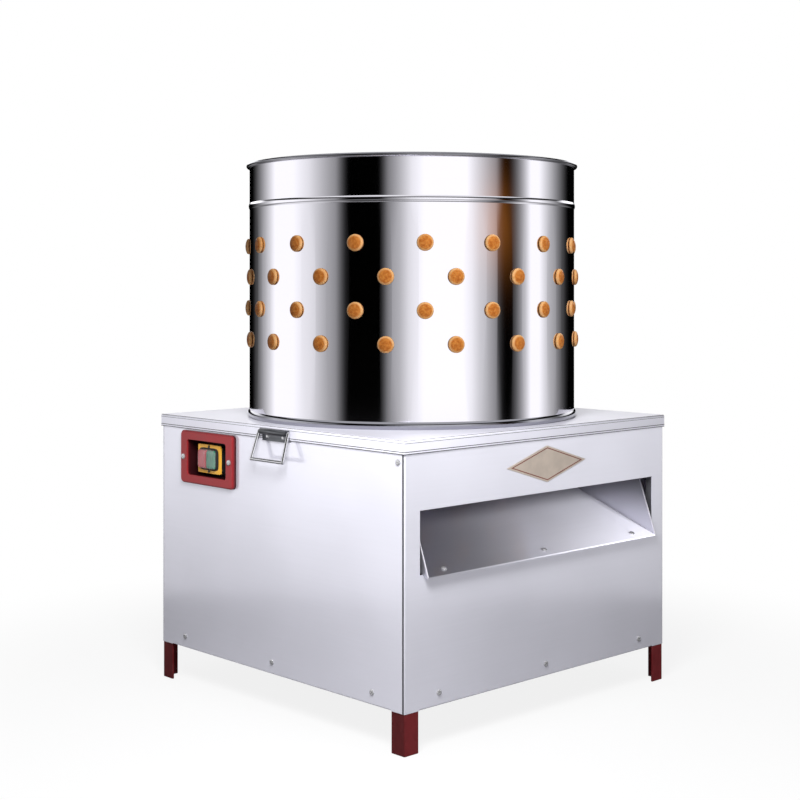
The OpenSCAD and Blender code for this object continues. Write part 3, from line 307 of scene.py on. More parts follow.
def clear_boot(name):
    """Soft clear plastic, slightly hazy, with creases that catch the light."""
    material, tree, shader = new_material(name, Alpha=0.17, Specular_IOR_Level=0.9)
    haze = tree.noise(scale=120.0, detail=4.0)
    creases = tree.noise(scale=70.0, stretch=(1.0, 2.5, 1.0))
    coat(
        tree, shader,
        color=tree.blend(tree.spread(haze, low=0.35), *map(rgba, BOOT_TONES)),
        rough=tree.spread(haze, to_low=0.06, to_high=0.18),
        normal=tree.bump(creases, distance=1.1 * MM),
    )
    return material


def enamel(name, color, rough):
    """Printed enamel on thin metal."""
    material, tree, shader = new_material(name, Coat_Weight=0.3, Coat_Roughness=0.25)
    speckle = tree.noise(scale=420.0)
    aging = tree.noise(scale=40.0)
    coat(
        tree, shader,
        color=tree.vary(tree.spread(aging), color, dark=0.92, light=1.06),
        rough=tree.spread(speckle, to_low=rough - 0.05, to_high=rough + 0.08),
        normal=tree.bump(speckle, distance=0.02 * MM),
    )
    return material


def paint_shade_past(material, axis, start, end, color, fade=None):
    """Paint shade into a finish past a place along one axis: in turned-in edges, recesses and along a rolled
    rim.

    The heights in fade give the painted shade a soft lower end.
    """
    tree = Tree(material.node_tree)
    shader = material.node_tree.nodes["Principled BSDF"]
    tone = shader.inputs["Base Color"].links[0].from_socket
    parts = tree.parts(tree.place())
    painted_shade = tree.span(parts[axis], start, end)
    if fade is not None:
        painted_shade = tree.math("MULTIPLY", painted_shade, tree.span(parts["Z"], *fade))
    tree.feed(shader.inputs["Base Color"], tree.blend(painted_shade, tone, rgba(color)))


WALL_GRAIN = (5.0, 5.0, 330.0)
TOP_GRAIN = (5.0, 330.0, 5.0)
DRUM_GRAIN = (9.0, 9.0, 160.0)
SATIN = (0.80, 0.795, 0.885)
POLISHED = (0.85, 0.835, 0.905)
MAROON = (0.105, 0.0085, 0.0105)
PANEL = {"color": SATIN, "rough": 0.16, "grain": WALL_GRAIN, "wave_depth": 0.2 * MM, "metal": 0.45}

FINISHES = {
    "frame_paint": (painted, dict(color=MAROON, rough=0.38, worn_color=(0.30, 0.27, 0.25), wear=0.55)),
    "cabinet_steel": (sheet_steel, PANEL),
    "outlet_steel": (sheet_steel, PANEL),
    "chute_steel": (sheet_steel, PANEL),
    "drum_steel": (sheet_steel, dict(
        color=POLISHED, rough=0.06, grain=DRUM_GRAIN, wave_depth=0.02 * MM, cloud=0.01)),
    # The foot ring: the drum's polished steel made darker, a painted shade for the dark look at the drum's
    # foot.
    "ring_steel": (sheet_steel, dict(
        color=(0.36, 0.36, 0.4), rough=0.08, grain=DRUM_GRAIN, wave_depth=0.02 * MM)),
    "plate_steel": (sheet_steel, dict(
        color=SATIN, rough=0.3, grain=TOP_GRAIN, wave_depth=0.2 * MM)),
    "cover_steel": (sheet_steel, dict(
        color=SATIN, rough=0.3, grain=TOP_GRAIN, wave_depth=0.15 * MM, metal=0.14)),
    "hem_steel": (sheet_steel, dict(
        color=POLISHED, rough=0.2, grain=WALL_GRAIN, wave_depth=0.02 * MM, metal=0.6)),
    "fasteners": (turned_metal, dict(color=(0.66, 0.66, 0.68), rough=0.2, metal=0.75)),
    "shaft_steel": (turned_metal, dict(color=(0.6, 0.6, 0.61), rough=0.28)),
    "dark_metal": (turned_metal, dict(color=(0.09, 0.09, 0.095), rough=0.4)),
    "handle_grey": (turned_metal, dict(color=(0.16, 0.165, 0.18), rough=0.34, grain=(900.0, 60.0, 60.0))),
    "handle_wire": (turned_metal, dict(color=(0.74, 0.74, 0.77), rough=0.1)),
    "castings": (cast_metal, dict(color=(0.075, 0.082, 0.086), rough=0.5)),
    "motor_casing": (cast_metal, dict(color=(0.045, 0.095, 0.105), rough=0.42)),
    "motor_black": (painted, dict(
        color=(0.028, 0.034, 0.038), rough=0.45, worn_color=(0.2, 0.2, 0.2), wear=0.4)),
    "motor_plastic": (moulded, dict(color=(0.024, 0.025, 0.027), rough=0.5, grain_depth=0.05 * MM)),
    "frame_red": (moulded, dict(color=(0.31, 0.028, 0.033), rough=0.33)),
    "box_dark": (moulded, dict(color=(0.03, 0.005, 0.007), rough=0.42)),
    "switch_black": (moulded, dict(color=(0.02, 0.02, 0.022), rough=0.45)),
    "face_yellow": (moulded, dict(color=(0.84, 0.44, 0.055), rough=0.3)),
    "stop_red": (moulded, dict(color=(0.42, 0.045, 0.06), rough=0.28)),
    "start_green": (moulded, dict(color=(0.02, 0.19, 0.115), rough=0.28)),
    "finger_rubber": (finger_rubber, {}),
    "belt_rubber": (belt_rubber, {}),
    "boot_clear": (clear_boot, {}),
    "plate_beige": (enamel, dict(color=(0.51, 0.43, 0.365), rough=0.4)),
    "border_red": (enamel, dict(color=(0.2, 0.05, 0.035), rough=0.4)),
}
finishes = {name: make(name, **settings) for name, (make, settings) in FINISHES.items()}

# Painted shade: the outlet's turned-in edges, the switch frame's inside and the chute's right side are
# darkened where they lie in shade, and the drum's rim along its top; the outlet and chute have their own
# copies of the panel steel to carry it. Each sets in between two distances from an outer face or from the
# top.
SHADE_STEEL = (0.09, 0.09, 0.1)
SHADE_RED = (0.05, 0.005, 0.007)
SIDE_SHADE_STEEL = (0.24, 0.24, 0.27)
RIM_SHADE_STEEL = (0.28, 0.28, 0.31)
OUTLET_SHADE = (1.3 * MM, 2.2 * MM)
BEZEL_SHADE = (1.6 * MM, 5.0 * MM)
SIDE_SHADE = (-2.1 * MM, -1.6 * MM)
SIDE_SHADE_FADE = (28 * MM, 105 * MM)
RIM_SHADE = (-6.0 * MM, -4.5 * MM)

outlet_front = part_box("outlet_panel")[0][1]
bezel_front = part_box("switch_bezel")[0][0]
chute_low, chute_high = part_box("chute")
drum_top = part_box("drum")[1][2]
paint_shade_past(finishes["outlet_steel"], "Y", *(outlet_front + step for step in OUTLET_SHADE), SHADE_STEEL)
paint_shade_past(finishes["frame_red"], "X", *(bezel_front + step for step in BEZEL_SHADE), SHADE_RED)
paint_shade_past(finishes["chute_steel"], "X", *(chute_high[0] + step for step in SIDE_SHADE), SIDE_SHADE_STEEL,
          fade=[chute_low[2] + step for step in SIDE_SHADE_FADE])
paint_shade_past(finishes["drum_steel"], "Z", *(drum_top + step for step in RIM_SHADE), RIM_SHADE_STEEL)


def dress(piece, material):
    piece.data.materials.clear()
    piece.data.materials.append(material)


slot_of = {entry["node"]: entry["material_slot"] for entry in frame["record"]["subparts"]}
own_finish = {
    "cover": "cover_steel",
    "drum_foot_ring": "ring_steel",
    "outlet_panel": "outlet_steel",
    "chute": "chute_steel",
}
for name, piece in nodes.items():
    dress(piece, finishes[own_finish.get(name, slot_of[name])])


# Meshes

UPRIGHT = 0.99
ON_AXIS = 0.0001 * MM
MERGE_GAP = 0.01 * MM
WELD_GAP = 0.005 * MM


def add_piece(name, mesh, finish, body, smooth_angle=35.0):
    """Make an object of a bmesh, give it its finish and let it ride on its body."""
    data = bpy.data.meshes.new(name)
    bmesh.ops.recalc_face_normals(mesh, faces=mesh.faces)
    mesh.to_mesh(data)
    mesh.free()
    data.shade_smooth()
    data.set_sharp_from_angle(angle=math.radians(smooth_angle))
    piece = bpy.data.objects.new(name, data)
    bpy.context.scene.collection.objects.link(piece)
    dress(piece, finishes[finish])
    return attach(piece, body)


def axes_at(place, outward):
    """Matrix whose z axis points outward at a place, with its y axis as near to upright as it can be."""
    z = Vector(outward).normalized()
    up = Vector((0, 0, 1)) if abs(z.z) < UPRIGHT else Vector((0, 1, 0))
    x = up.cross(z).normalized()
    y = z.cross(x)
    turn = Matrix((x, y, z)).transposed().to_4x4()
    return Matrix.Translation(place) @ turn


def lathe(mesh, profile, steps, matrix):
    """Turn a profile of (radius, height) points about z and return the rings of vertices."""
    rings = []
    for radius, height in profile:
        if radius < ON_AXIS:
            rings.append([mesh.verts.new(matrix @ Vector((0, 0, height)))])
            continue
        ring = []
        for i in range(steps):
            angle = 2 * math.pi * i / steps
            point = Vector((radius * math.cos(angle), radius * math.sin(angle), height))
            ring.append(mesh.verts.new(matrix @ point))
        rings.append(ring)
    for low, high in zip(rings, rings[1:]):
        for i in range(steps):
            j = i + 1
            corners = [low[i % len(low)], low[j % len(low)], high[j % len(high)], high[i % len(high)]]
            corners = list(dict.fromkeys(corners))
            if len(corners) > 2:
                mesh.faces.new(corners)
    return rings


def join_loops(mesh, loops):
    """Faces between each loop of vertices and the next."""
    for outer, inner in zip(loops, loops[1:]):
        for i in range(len(outer)):
            j = (i + 1) % len(outer)
            mesh.faces.new([outer[i], outer[j], inner[j], inner[i]])


def islands(piece):
    """The separate solids of a CAD node, each as a list of its points, in the mesh's own order."""
    mesh = bmesh.new()
    mesh.from_mesh(piece.data)
    bmesh.ops.remove_doubles(mesh, verts=mesh.verts, dist=MERGE_GAP)
    seen = set()
    found = []
    for first in mesh.verts:
        if first in seen:
            continue
        seen.add(first)
        stack = [first]
        group = []
        while stack:
            vert = stack.pop()
            group.append(vert.co.copy())
            for edge in vert.link_edges:
                other = edge.other_vert(vert)
                if other not in seen:
                    seen.add(other)
                    stack.append(other)
        found.append(group)
    mesh.free()
    return found


def centre_of(points):
    return sum(points, Vector()) / len(points)


def reach(points, direction):
    """Lowest and highest distance of points along a direction."""
    distances = [point.dot(direction) for point in points]
    return min(distances), max(distances)


def reach_across(points, place, direction):
    """Greatest distance of points from a line through a place."""
    offsets = [point - place for point in points]
    return max((offset - direction * offset.dot(direction)).length for offset in offsets)


def add_bevel(name, width, segments):
    """Weld a CAD node's points and round edges of it as it is drawn."""
    weld = nodes[name].modifiers.new("weld", "WELD")
    weld.merge_threshold = WELD_GAP
    bevel = nodes[name].modifiers.new("bevel", "BEVEL")
    bevel.width = width
    bevel.segments = segments
    bevel.harden_normals = True
    return bevel


# Rubber fingers: each CAD finger gives its place, and its skin is turned with softer forms

FINGER_STEPS = 28
HEAD_H = 7.5 * MM
HEAD_EDGE = 0.4 * MM
DOME_H = 5.6 * MM
DOME_STEPS = 10
NECK_R = 10.3 * MM
WALL_NECK_L = 1.9 * MM
PLATE_NECK_L = 4.4 * MM
SHOULDER_R = 13.0 * MM
SHOULDER_H = 4.0 * MM
ROOT_R = 10.0 * MM
TIP_R = 7.5 * MM
TIP_ROUND = 3.0 * MM
TIP_STEPS = 3
RIB_OUT = 1.2 * MM
RIBS = 9
RIB_STEPS = 4

# Painted highlight along a finger, held as paleness: the dome turns pale from RIM_START of the head's radius,
# over RIM_BLEND of it
RIM_START = 0.72
RIM_BLEND = 0.16
PALE_SIDE = 0.3
PALE_EDGE = 0.1
PALE_SEAT = 0.2
PALE_SHOULDER = 0.5
PALE_RIB = 0.6
PALE_TIP = 0.2


def finger_profile(head_r, length, neck_l):
    """Points of a finger as (radius, height, paleness of the painted highlight), from the middle of its head
    at z = 0 to its tip.
    """
    points = [(0.0, 0.0, 0.0)]
    for i in range(1, DOME_STEPS + 1):
        angle = math.pi / 2 * i / DOME_STEPS
        rim_share = min(1.0, max(0.0, (math.sin(angle) - RIM_START) / RIM_BLEND))
        points.append((head_r * math.sin(angle), DOME_H * (math.cos(angle) - 1), rim_share))
    seat = -HEAD_H - neck_l
    root = seat - SHOULDER_H
    points += [
        (head_r, HEAD_EDGE - HEAD_H, PALE_SIDE),
        (head_r - HEAD_EDGE, -HEAD_H, PALE_EDGE),
        (NECK_R, -HEAD_H, 0.0),
        (NECK_R, seat, 0.0),
        (SHOULDER_R, seat, PALE_SEAT),
        (SHOULDER_R, root + SHOULDER_H / 2, PALE_SHOULDER),
        (ROOT_R, root, PALE_EDGE),
    ]
    ribbed = length + root - TIP_ROUND
    for i in range(1, RIBS * RIB_STEPS + 1):
        share = i / (RIBS * RIB_STEPS)
        swell = 0.5 - 0.5 * math.cos(2 * math.pi * share * RIBS)
        radius = ROOT_R + (TIP_R - ROOT_R) * share + RIB_OUT * swell
        points.append((radius, root - ribbed * share, PALE_RIB * swell))
    for i in range(1, TIP_STEPS + 1):
        angle = math.pi / 2 * i / TIP_STEPS
        radius = TIP_R - TIP_ROUND + TIP_ROUND * math.cos(angle)
        points.append((radius, TIP_ROUND - length - TIP_ROUND * math.sin(angle), PALE_TIP))
    points.append((0.0, -length, 0.0))
    return points


def add_fingers(name, cad_name, body, neck_l, facing=None):
    """Skin the fingers of a CAD node, whose heads face one way or else away from the drum's axis."""
    mesh = bmesh.new()
    layer = mesh.verts.layers.float.new("paleness")
    for points in islands(nodes[cad_name]):
        centre = centre_of(points)
        outward = facing or Vector((centre.x, centre.y, 0)).normalized()
        back, front = reach(points, outward)
        place = centre + outward * (front - centre.dot(outward))
        profile = finger_profile(reach_across(points, place, outward), front - back, neck_l)
        rings = lathe(mesh, [point[:2] for point in profile], FINGER_STEPS, axes_at(place, outward))
        for ring, point in zip(rings, profile):
            for vert in ring:
                vert[layer] = point[2]
    piece = add_piece(name, mesh, "finger_rubber", body, smooth_angle=50.0)
    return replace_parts(piece, cad_name)


wall_rows = []
for row in (1, 2, 3, 4):
    wall_rows.append(add_fingers(f"finger_row_{row}", f"wall_fingers_row_{row}", "base", WALL_NECK_L))
add_fingers("plate_finger_set", "plate_fingers", "rotor", PLATE_NECK_L, facing=Vector((0, 0, -1)))


# Screws with a cross recess, in place of the plain CAD ones

SCREW_STEPS = 24
SCREW_SMOOTH = 40.0
HEAD_RISE = 2.6 * MM
SHANK_SHARE = 0.48
RISE_SHARE = 0.45
TOP_SHARE = 0.62
CROWN_STEPS = 4
RECESS_LONG = 2.0 * MM
RECESS_WIDE = 0.5 * MM
RECESS_DEEP = 0.9 * MM
RECESS_TAPER = 0.7

# Turn of the recess from one screw to the next, in degrees, within a quarter
SPIN_STEP = 37
QUARTER = 90

# Where screws stand: beyond SIDE_REACH on the sides and back, and above LIP_ZONE_Z in the chute
SIDE_REACH = 0.31
LIP_ZONE_Z = 0.2
CHUTE_TILT = math.radians(20)


def cross_outline(long, wide):
    """Corners of a cross, anticlockwise."""
    arm = [(long, -wide), (long, wide), (wide, wide)]
    corners = []
    for quarter in range(4):
        turn = Matrix.Rotation(math.pi / 2 * quarter, 2)
        corners += [turn @ Vector(corner) for corner in arm]
    return corners


def add_screw(mesh, matrix, head_r, head_h, length):
    """Pan-head screw with a cross recess, its seat at z = 0 and its head along z."""
    rise = head_h * RISE_SHARE
    shank_r = head_r * SHANK_SHARE
    profile = [(shank_r, -length), (shank_r, 0.0), (head_r, 0.0), (head_r, rise)]
    for i in range(1, CROWN_STEPS + 1):
        angle = math.pi / 2 * i / CROWN_STEPS
        radius = head_r * (TOP_SHARE + (1 - TOP_SHARE) * math.cos(angle))
        profile.append((radius, rise + (head_h - rise) * math.sin(angle)))
    rings = lathe(mesh, profile, SCREW_STEPS, matrix)
    mesh.faces.new(reversed(rings[0]))
    outlines = []
    for depth, size in ((0.0, 1.0), (RECESS_DEEP, RECESS_TAPER)):
        corners = cross_outline(RECESS_LONG * size, RECESS_WIDE * size)
        outlines.append([mesh.verts.new(matrix @ Vector((*corner, head_h - depth))) for corner in corners])
    join_loops(mesh, outlines)
    top, bottom = outlines
    mesh.faces.new(bottom)
    edges = []
    for ring in (rings[-1], top):
        edges += [mesh.edges.get(pair) for pair in zip(ring, ring[1:] + ring[:1])]
    bmesh.ops.bridge_loops(mesh, edges=edges)


def screw_direction(centre):
    """Which way a panel screw's head faces, from where it stands."""
    if abs(centre.x) > SIDE_REACH:
        return Vector((math.copysign(1, centre.x), 0, 0))
    if centre.y > SIDE_REACH:
        return Vector((0, 1, 0))
    if centre.z > LIP_ZONE_Z:
        return Vector((0, -math.sin(CHUTE_TILT), math.cos(CHUTE_TILT)))
    return Vector((0, -1, 0))


def add_panel_screws():
    """One screw for each CAD screw, with the recesses turned at different angles."""
    mesh = bmesh.new()
    for i, points in enumerate(islands(nodes["panel_screws"])):
        centre = centre_of(points)
        outward = screw_direction(centre)
        back, front = reach(points, outward)
        seat = centre + outward * (front - HEAD_RISE - centre.dot(outward))
        spin = Matrix.Rotation(math.radians(SPIN_STEP * i % QUARTER), 4, "Z")
        head_r = reach_across(points, centre, outward)
        add_screw(mesh, axes_at(seat, outward) @ spin, head_r, HEAD_RISE, front - back - HEAD_RISE)
    piece = add_piece("cross_screws", mesh, "fasteners", "base", smooth_angle=SCREW_SMOOTH)
    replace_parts(piece, "panel_screws")


add_panel_screws()


# Switch: soft clear boot over the buttons, and two small screws in the face plate

BOOT_RINGS = 12
BOOT_STEPS = 72
BOOT_SQUARENESS = 6.0
BOOT_ROUND = 0.42
BOOT_FLANGE = 2.2 * MM
BOOT_SINK = 0.05 * MM
FLANGE_T = 0.6 * MM
COLLAR_H = 0.9 * MM
COLLAR_ROWS = 3
CROWN_SHARE = 0.96
CROWN_END = 0.02
BOOT_VALLEY = 2.2 * MM
BOOT_VALLEY_W = 3.5 * MM
VALLEY_POWER = 3
FACE_SCREW_R = 2.88 * MM
FACE_SCREW_H = 0.9 * MM
FACE_SCREW_L = 1.5 * MM


def superellipse(angle, half_w, half_h):
    """Point of a rectangle with round corners, at an angle from its middle."""
    c, s = math.cos(angle), math.sin(angle)
    size = (abs(c) ** BOOT_SQUARENESS + abs(s) ** BOOT_SQUARENESS) ** (-1 / BOOT_SQUARENESS)
    return half_w * size * c, half_h * size * s


def add_boot():
    """A crowned boot with a valley between the buttons, and a dark collar round its foot."""
    low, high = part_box("switch_cover")
    half_w = (high[1] - low[1]) / 2
    half_h = (high[2] - low[2]) / 2
    depth = high[0] - low[0]
    matrix = axes_at(Vector((high[0], (low[1] + high[1]) / 2, (low[2] + high[2]) / 2)), (-1, 0, 0))
    flange = 1.0 + BOOT_FLANGE / half_w
    rows = [(flange, -BOOT_SINK), (flange, FLANGE_T), (1.0, COLLAR_H)]
    for i in range(1, BOOT_RINGS + 1):
        angle = math.pi / 2 * i / BOOT_RINGS
        share = CROWN_SHARE * math.cos(angle) ** BOOT_ROUND if i < BOOT_RINGS else CROWN_END
        rows.append((share, depth * math.sin(angle) ** BOOT_ROUND))
    mesh = bmesh.new()
    rings = []
    for share, height in rows:
        ring = []
        for step in range(BOOT_STEPS):
            x, y = superellipse(2 * math.pi * step / BOOT_STEPS, half_w * share, half_h * share)
            valley = BOOT_VALLEY * math.exp(-(x / BOOT_VALLEY_W) ** 2)
            dip = valley * (height / depth) ** VALLEY_POWER
            ring.append(mesh.verts.new(matrix @ Vector((x, y, height - dip))))
        rings.append(ring)
    join_loops(mesh, rings)
    mesh.faces.new(rings[-1])
    mesh.faces.new(reversed(rings[0]))
    piece = add_piece("clear_boot", mesh, "boot_clear", "base", smooth_angle=70.0)
    piece.data.materials.append(finishes["switch_black"])
    for polygon in piece.data.polygons[:COLLAR_ROWS * BOOT_STEPS]:
        polygon.material_index = 1
    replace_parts(piece, "switch_cover")


def add_face_screws():
    """Screws in the face plate, midway between its ends and the boot."""
    low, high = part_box("switch_faceplate")
    boot_low, boot_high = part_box("switch_cover")
    y = (low[1] + high[1]) / 2
    mesh = bmesh.new()
    for z in ((low[2] + boot_low[2]) / 2, (high[2] + boot_high[2]) / 2):
        matrix = axes_at(Vector((low[0], y, z)), (-1, 0, 0))
        add_screw(mesh, matrix, FACE_SCREW_R, FACE_SCREW_H, FACE_SCREW_L)
    add_piece("face_screws", mesh, "dark_metal", "base", smooth_angle=SCREW_SMOOTH)


add_boot()
add_face_screws()


# Printed border on the diamond-shaped plate

BORDER_INSET = 3.0 * MM
BORDER_W = 1.5 * MM
BORDER_RISE = 0.15 * MM


def add_border():
    low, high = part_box("nameplate")
    half_w = (high[0] - low[0]) / 2
    half_h = (high[2] - low[2]) / 2
    matrix = axes_at(Vector(((low[0] + high[0]) / 2, low[1], (low[2] + high[2]) / 2)), (0, -1, 0))
    to_edge = half_w * half_h / math.hypot(half_w, half_h)
    corners = [(half_w, 0), (0, half_h), (-half_w, 0), (0, -half_h)]
    outer, inner = BORDER_INSET, BORDER_INSET + BORDER_W
    mesh = bmesh.new()
    loops = []
    for inset, height in ((outer, 0.0), (outer, BORDER_RISE), (inner, BORDER_RISE), (inner, 0.0)):
        share = 1 - inset / to_edge
        loops.append([mesh.verts.new(matrix @ Vector((x * share, y * share, height))) for x, y in corners])
    join_loops(mesh, [*loops, loops[0]])
    add_piece("plate_border", mesh, "border_red", "base")


add_border()


# Cover: folded edge, and dark lines round its skirt: the hem's seam, with painted shadow along its lower edge
# and painted shade just under the fold and on it

FOLD_R = 2.4 * MM
FOLD_STEPS = 5
SEAM_RISE = 3.4 * MM
DARK_LINE_W = 1.1 * MM
FOLD_SHADE_DROP = 5.0 * MM
FOLD_SHADE_W = 0.6 * MM
DARK_LINE_OUT = 0.06 * MM
DARK_LINE_IN = 0.4 * MM
EDGE_SLACK = 0.02 * MM


def fold_cover():
    """Round the cover's upper outer edge as it is drawn."""
    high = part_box("cover")[1]
    cover = nodes["cover"]
    group = cover.vertex_groups.new(name="fold")
    for vert in cover.data.vertices:
        x, y, z = vert.co
        outer = abs(x) > high[0] - EDGE_SLACK or abs(y) > high[1] - EDGE_SLACK
        if outer and z > high[2] - EDGE_SLACK:
            group.add([vert.index], 1.0, "REPLACE")
    bevel = add_bevel("cover", FOLD_R, FOLD_STEPS)
    bevel.limit_method = "VGROUP"
    bevel.vertex_group = "fold"


def add_seam_and_shade_lines():
    """Dark lines round the skirt: painted shadow along its lower edge, the hem's seam, and painted shade just
    under the fold and on it.
    """
    low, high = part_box("cover")
    sections = []
    for bottom, width in ((low[2], DARK_LINE_W), (low[2] + SEAM_RISE, DARK_LINE_W), (high[2] - FOLD_SHADE_DROP, FOLD_SHADE_W)):
        top = bottom + width
        sections.append(((DARK_LINE_OUT, bottom), (DARK_LINE_OUT, top), (-DARK_LINE_IN, top), (-DARK_LINE_IN, bottom)))
    on_fold = FOLD_R * (1 - math.sqrt(0.5))
    slant = FOLD_SHADE_W / 2 * math.sqrt(0.5)
    fold = Vector((DARK_LINE_OUT - on_fold, high[2] + DARK_LINE_OUT - on_fold))
    inward = Vector((-DARK_LINE_IN, -DARK_LINE_IN))
    along = Vector((-slant, slant))
    sections.append((fold - along, fold + along, fold + along + inward, fold - along + inward))
    mesh = bmesh.new()
    for section in sections:
        loops = []
        for out, z in section:
            half_x, half_y = high[0] + out, high[1] + out
            corners = ((half_x, half_y), (-half_x, half_y), (-half_x, -half_y), (half_x, -half_y))
            loops.append([mesh.verts.new((x, y, z)) for x, y in corners])
        join_loops(mesh, [*loops, loops[0]])
    add_piece("seam_and_shade_lines", mesh, "dark_metal", "base")


fold_cover()
add_seam_and_shade_lines()


# Chute: rolled hem along the front edge of each side

HEM_R = 1.2 * MM
HEM_IN = 0.6 * MM
HEM_STEPS = 14
HEM_ROUND = 0.7
CREST_RISE = 10 * MM


def add_side_hems():
    points = [vert.co for vert in nodes["chute"].data.vertices]
    half_w = max(point.x for point in points)
    cap = HEM_ROUND * HEM_R
    mesh = bmesh.new()
    for side in (-1, 1):
        wall = [point for point in points if abs(point.x - side * half_w) < EDGE_SLACK]
        front = min(point.y for point in wall)
        lip = max((point for point in wall if point.y < front + EDGE_SLACK), key=lambda point: point.z)
        crest = min((point for point in wall if point.z > lip.z + CREST_RISE), key=lambda point: point.y)
        inward = Vector((-side * HEM_IN, 0, 0))
        length = (crest - lip).length
        profile = [(0.0, -HEM_R), (cap, -cap), (HEM_R, 0.0), (HEM_R, length), (cap, length + cap),
                   (0.0, length + HEM_R)]
        lathe(mesh, profile, HEM_STEPS, axes_at(lip + inward, crest - lip))
    add_piece("side_hems", mesh, "hem_steel", "base", smooth_angle=60.0)


add_side_hems()


# Edges of the CAD pieces, rounded as they are drawn: width in millimetres, and the nodes that have it

EDGE_STEPS = 2
EDGE_ANGLE = math.radians(40)
EDGE_WIDTHS = {
    0.25: ("nameplate",),
    0.3: ("cover", "switch_panel", "outlet_panel", "right_panel", "back_panel", "chute", "handle_rivets"),
    0.4: ("left_handle_plate", "right_handle_plate"),
    0.5: ("motor_bolts", "motor_pulley"),
    0.6: ("turntable", "cable_gland", "hub_bolts", "bearing_bolts", "driven_pulley"),
    0.7: ("switch_faceplate",),
    0.8: ("front_left_leg", "front_right_leg", "back_left_leg", "back_right_leg", "motor_plate"),
    1.0: ("shaft_nut", "turntable_hub"),
    1.4: ("switch_bezel",),
    1.5: ("upper_bearing_housing", "lower_bearing_housing", "capacitor"),
    1.6: ("stop_button", "start_button"),
    2.5: ("terminal_box",),
}

for width, names in EDGE_WIDTHS.items():
    for name in names:
        bevel = add_bevel(name, width * MM, EDGE_STEPS)
        bevel.limit_method = "ANGLE"
        bevel.angle_limit = EDGE_ANGLE


# Camera: level, with a shifted lens that keeps the uprights parallel

CAMERA_PLACE = Vector((-1.8858, -1.9811, 0.7322))
CAMERA_AIM = Vector((0.6915, 0.7224, 0.0))
CAMERA_RIGHT = Vector((0.7224, -0.6915, 0.0))
LENS = 66.18
SENSOR = 36.0
SHIFT = (-0.0200, -0.1455)


def make_camera():
    data = bpy.data.cameras.new("camera")
    data.lens = LENS
    data.sensor_width = SENSOR
    data.shift_x, data.shift_y = SHIFT
    data.dof.use_dof = False
    camera = bpy.data.objects.new("camera", data)
    bpy.context.scene.collection.objects.link(camera)
    camera.location = CAMERA_PLACE
    camera.rotation_euler = CAMERA_AIM.to_track_quat("-Z", "Y").to_euler()
    bpy.context.scene.camera = camera


# Studio: brightness of the soft boxes and dark flags round the object, by angle from the camera in degrees

STUDIO_RING = (
    (-153, 0.0), (-110, 0.95), (-89, 0.95), (-75, 0.84), (-53, 0.52), (-43, 0.0), (-23, 0.0), (-16, 0.46),
    (0, 0.87), (8, 0.96), (38, 0.96), (60, 0.5), (67, 0.0), (70, 0.05), (90, 0.95), (99, 0.95), (143, 0.03),
)
RING_GAMMA = 2.2
RING_STRENGTH = 1.3
AMBIENT_LEVEL = 0.22

# Other parts of the studio: a level, and the heights, as sines of elevation, between which each sets in.
# The back is also bound to the side away from the camera, by the cosines in BACK_TURN.
UNDER_LEVEL = 0.2
UNDER_GATE = (-0.08, -0.27)
DEEP_SHARE = 0.3
DEEP_GATE = (-0.29, -0.36)
BACK_LEVEL = 1.75
BACK_GATE = (0.09, 0.16)
BACK_TURN = (-0.5, -0.8)
GAP_LEVEL = 0.02
GAP_GATE = (0.30, 0.38)
CEILING_LEVEL = 0.9
CEILING_GATE = (0.56, 0.66)

# Warm patch in the steel's reflections
WARM_PATCH = (0.27, 0.09, 0.015)
WARM_ANGLE = math.radians(58)
WARM_WIDTH = math.radians(13)
WARM_HEIGHT = 0.04
WARM_TALL = 0.03

FLOOR_RADIUS = 1.2
FLOOR_STEPS = 128
FLOOR_COLOR = (0.82, 0.82, 0.83)
FLOOR_GLOW = 0.86
FLOOR_FADE = 0.5
FLOOR_IN_STEEL = 0.22


def studio_ring(tree, angle):
    """Brightness of the ring of soft boxes at an angle from the camera."""
    ring = tree.add("ValToRGB")
    stops = ring.color_ramp.elements
    while len(stops) > 1:
        stops.remove(stops[-1])
    for i, (degrees, level) in enumerate(STUDIO_RING):
        position = degrees / 360 + 0.5
        stop = stops[0] if i == 0 else stops.new(position)
        stop.position = position
        stop.color = grey(level)
    turn = tree.math("ADD", tree.math("DIVIDE", angle, 2 * math.pi), 0.5)
    tree.feed(ring.inputs["Fac"], turn)
    return tree.math("MULTIPLY", tree.math("POWER", ring.outputs["Color"], RING_GAMMA), RING_STRENGTH)


def warm_share(tree, angle, height):
    """How much of the warm patch shows at an angle and a height."""
    across = tree.math("DIVIDE", tree.math("SUBTRACT", angle, WARM_ANGLE), WARM_WIDTH)
    upward = tree.math("DIVIDE", tree.math("SUBTRACT", height, WARM_HEIGHT), WARM_TALL)
    distance = tree.math("ADD", tree.math("POWER", across, 2.0), tree.math("POWER", upward, 2.0))
    return tree.math("POWER", math.e, tree.math("MULTIPLY", distance, -1.0))


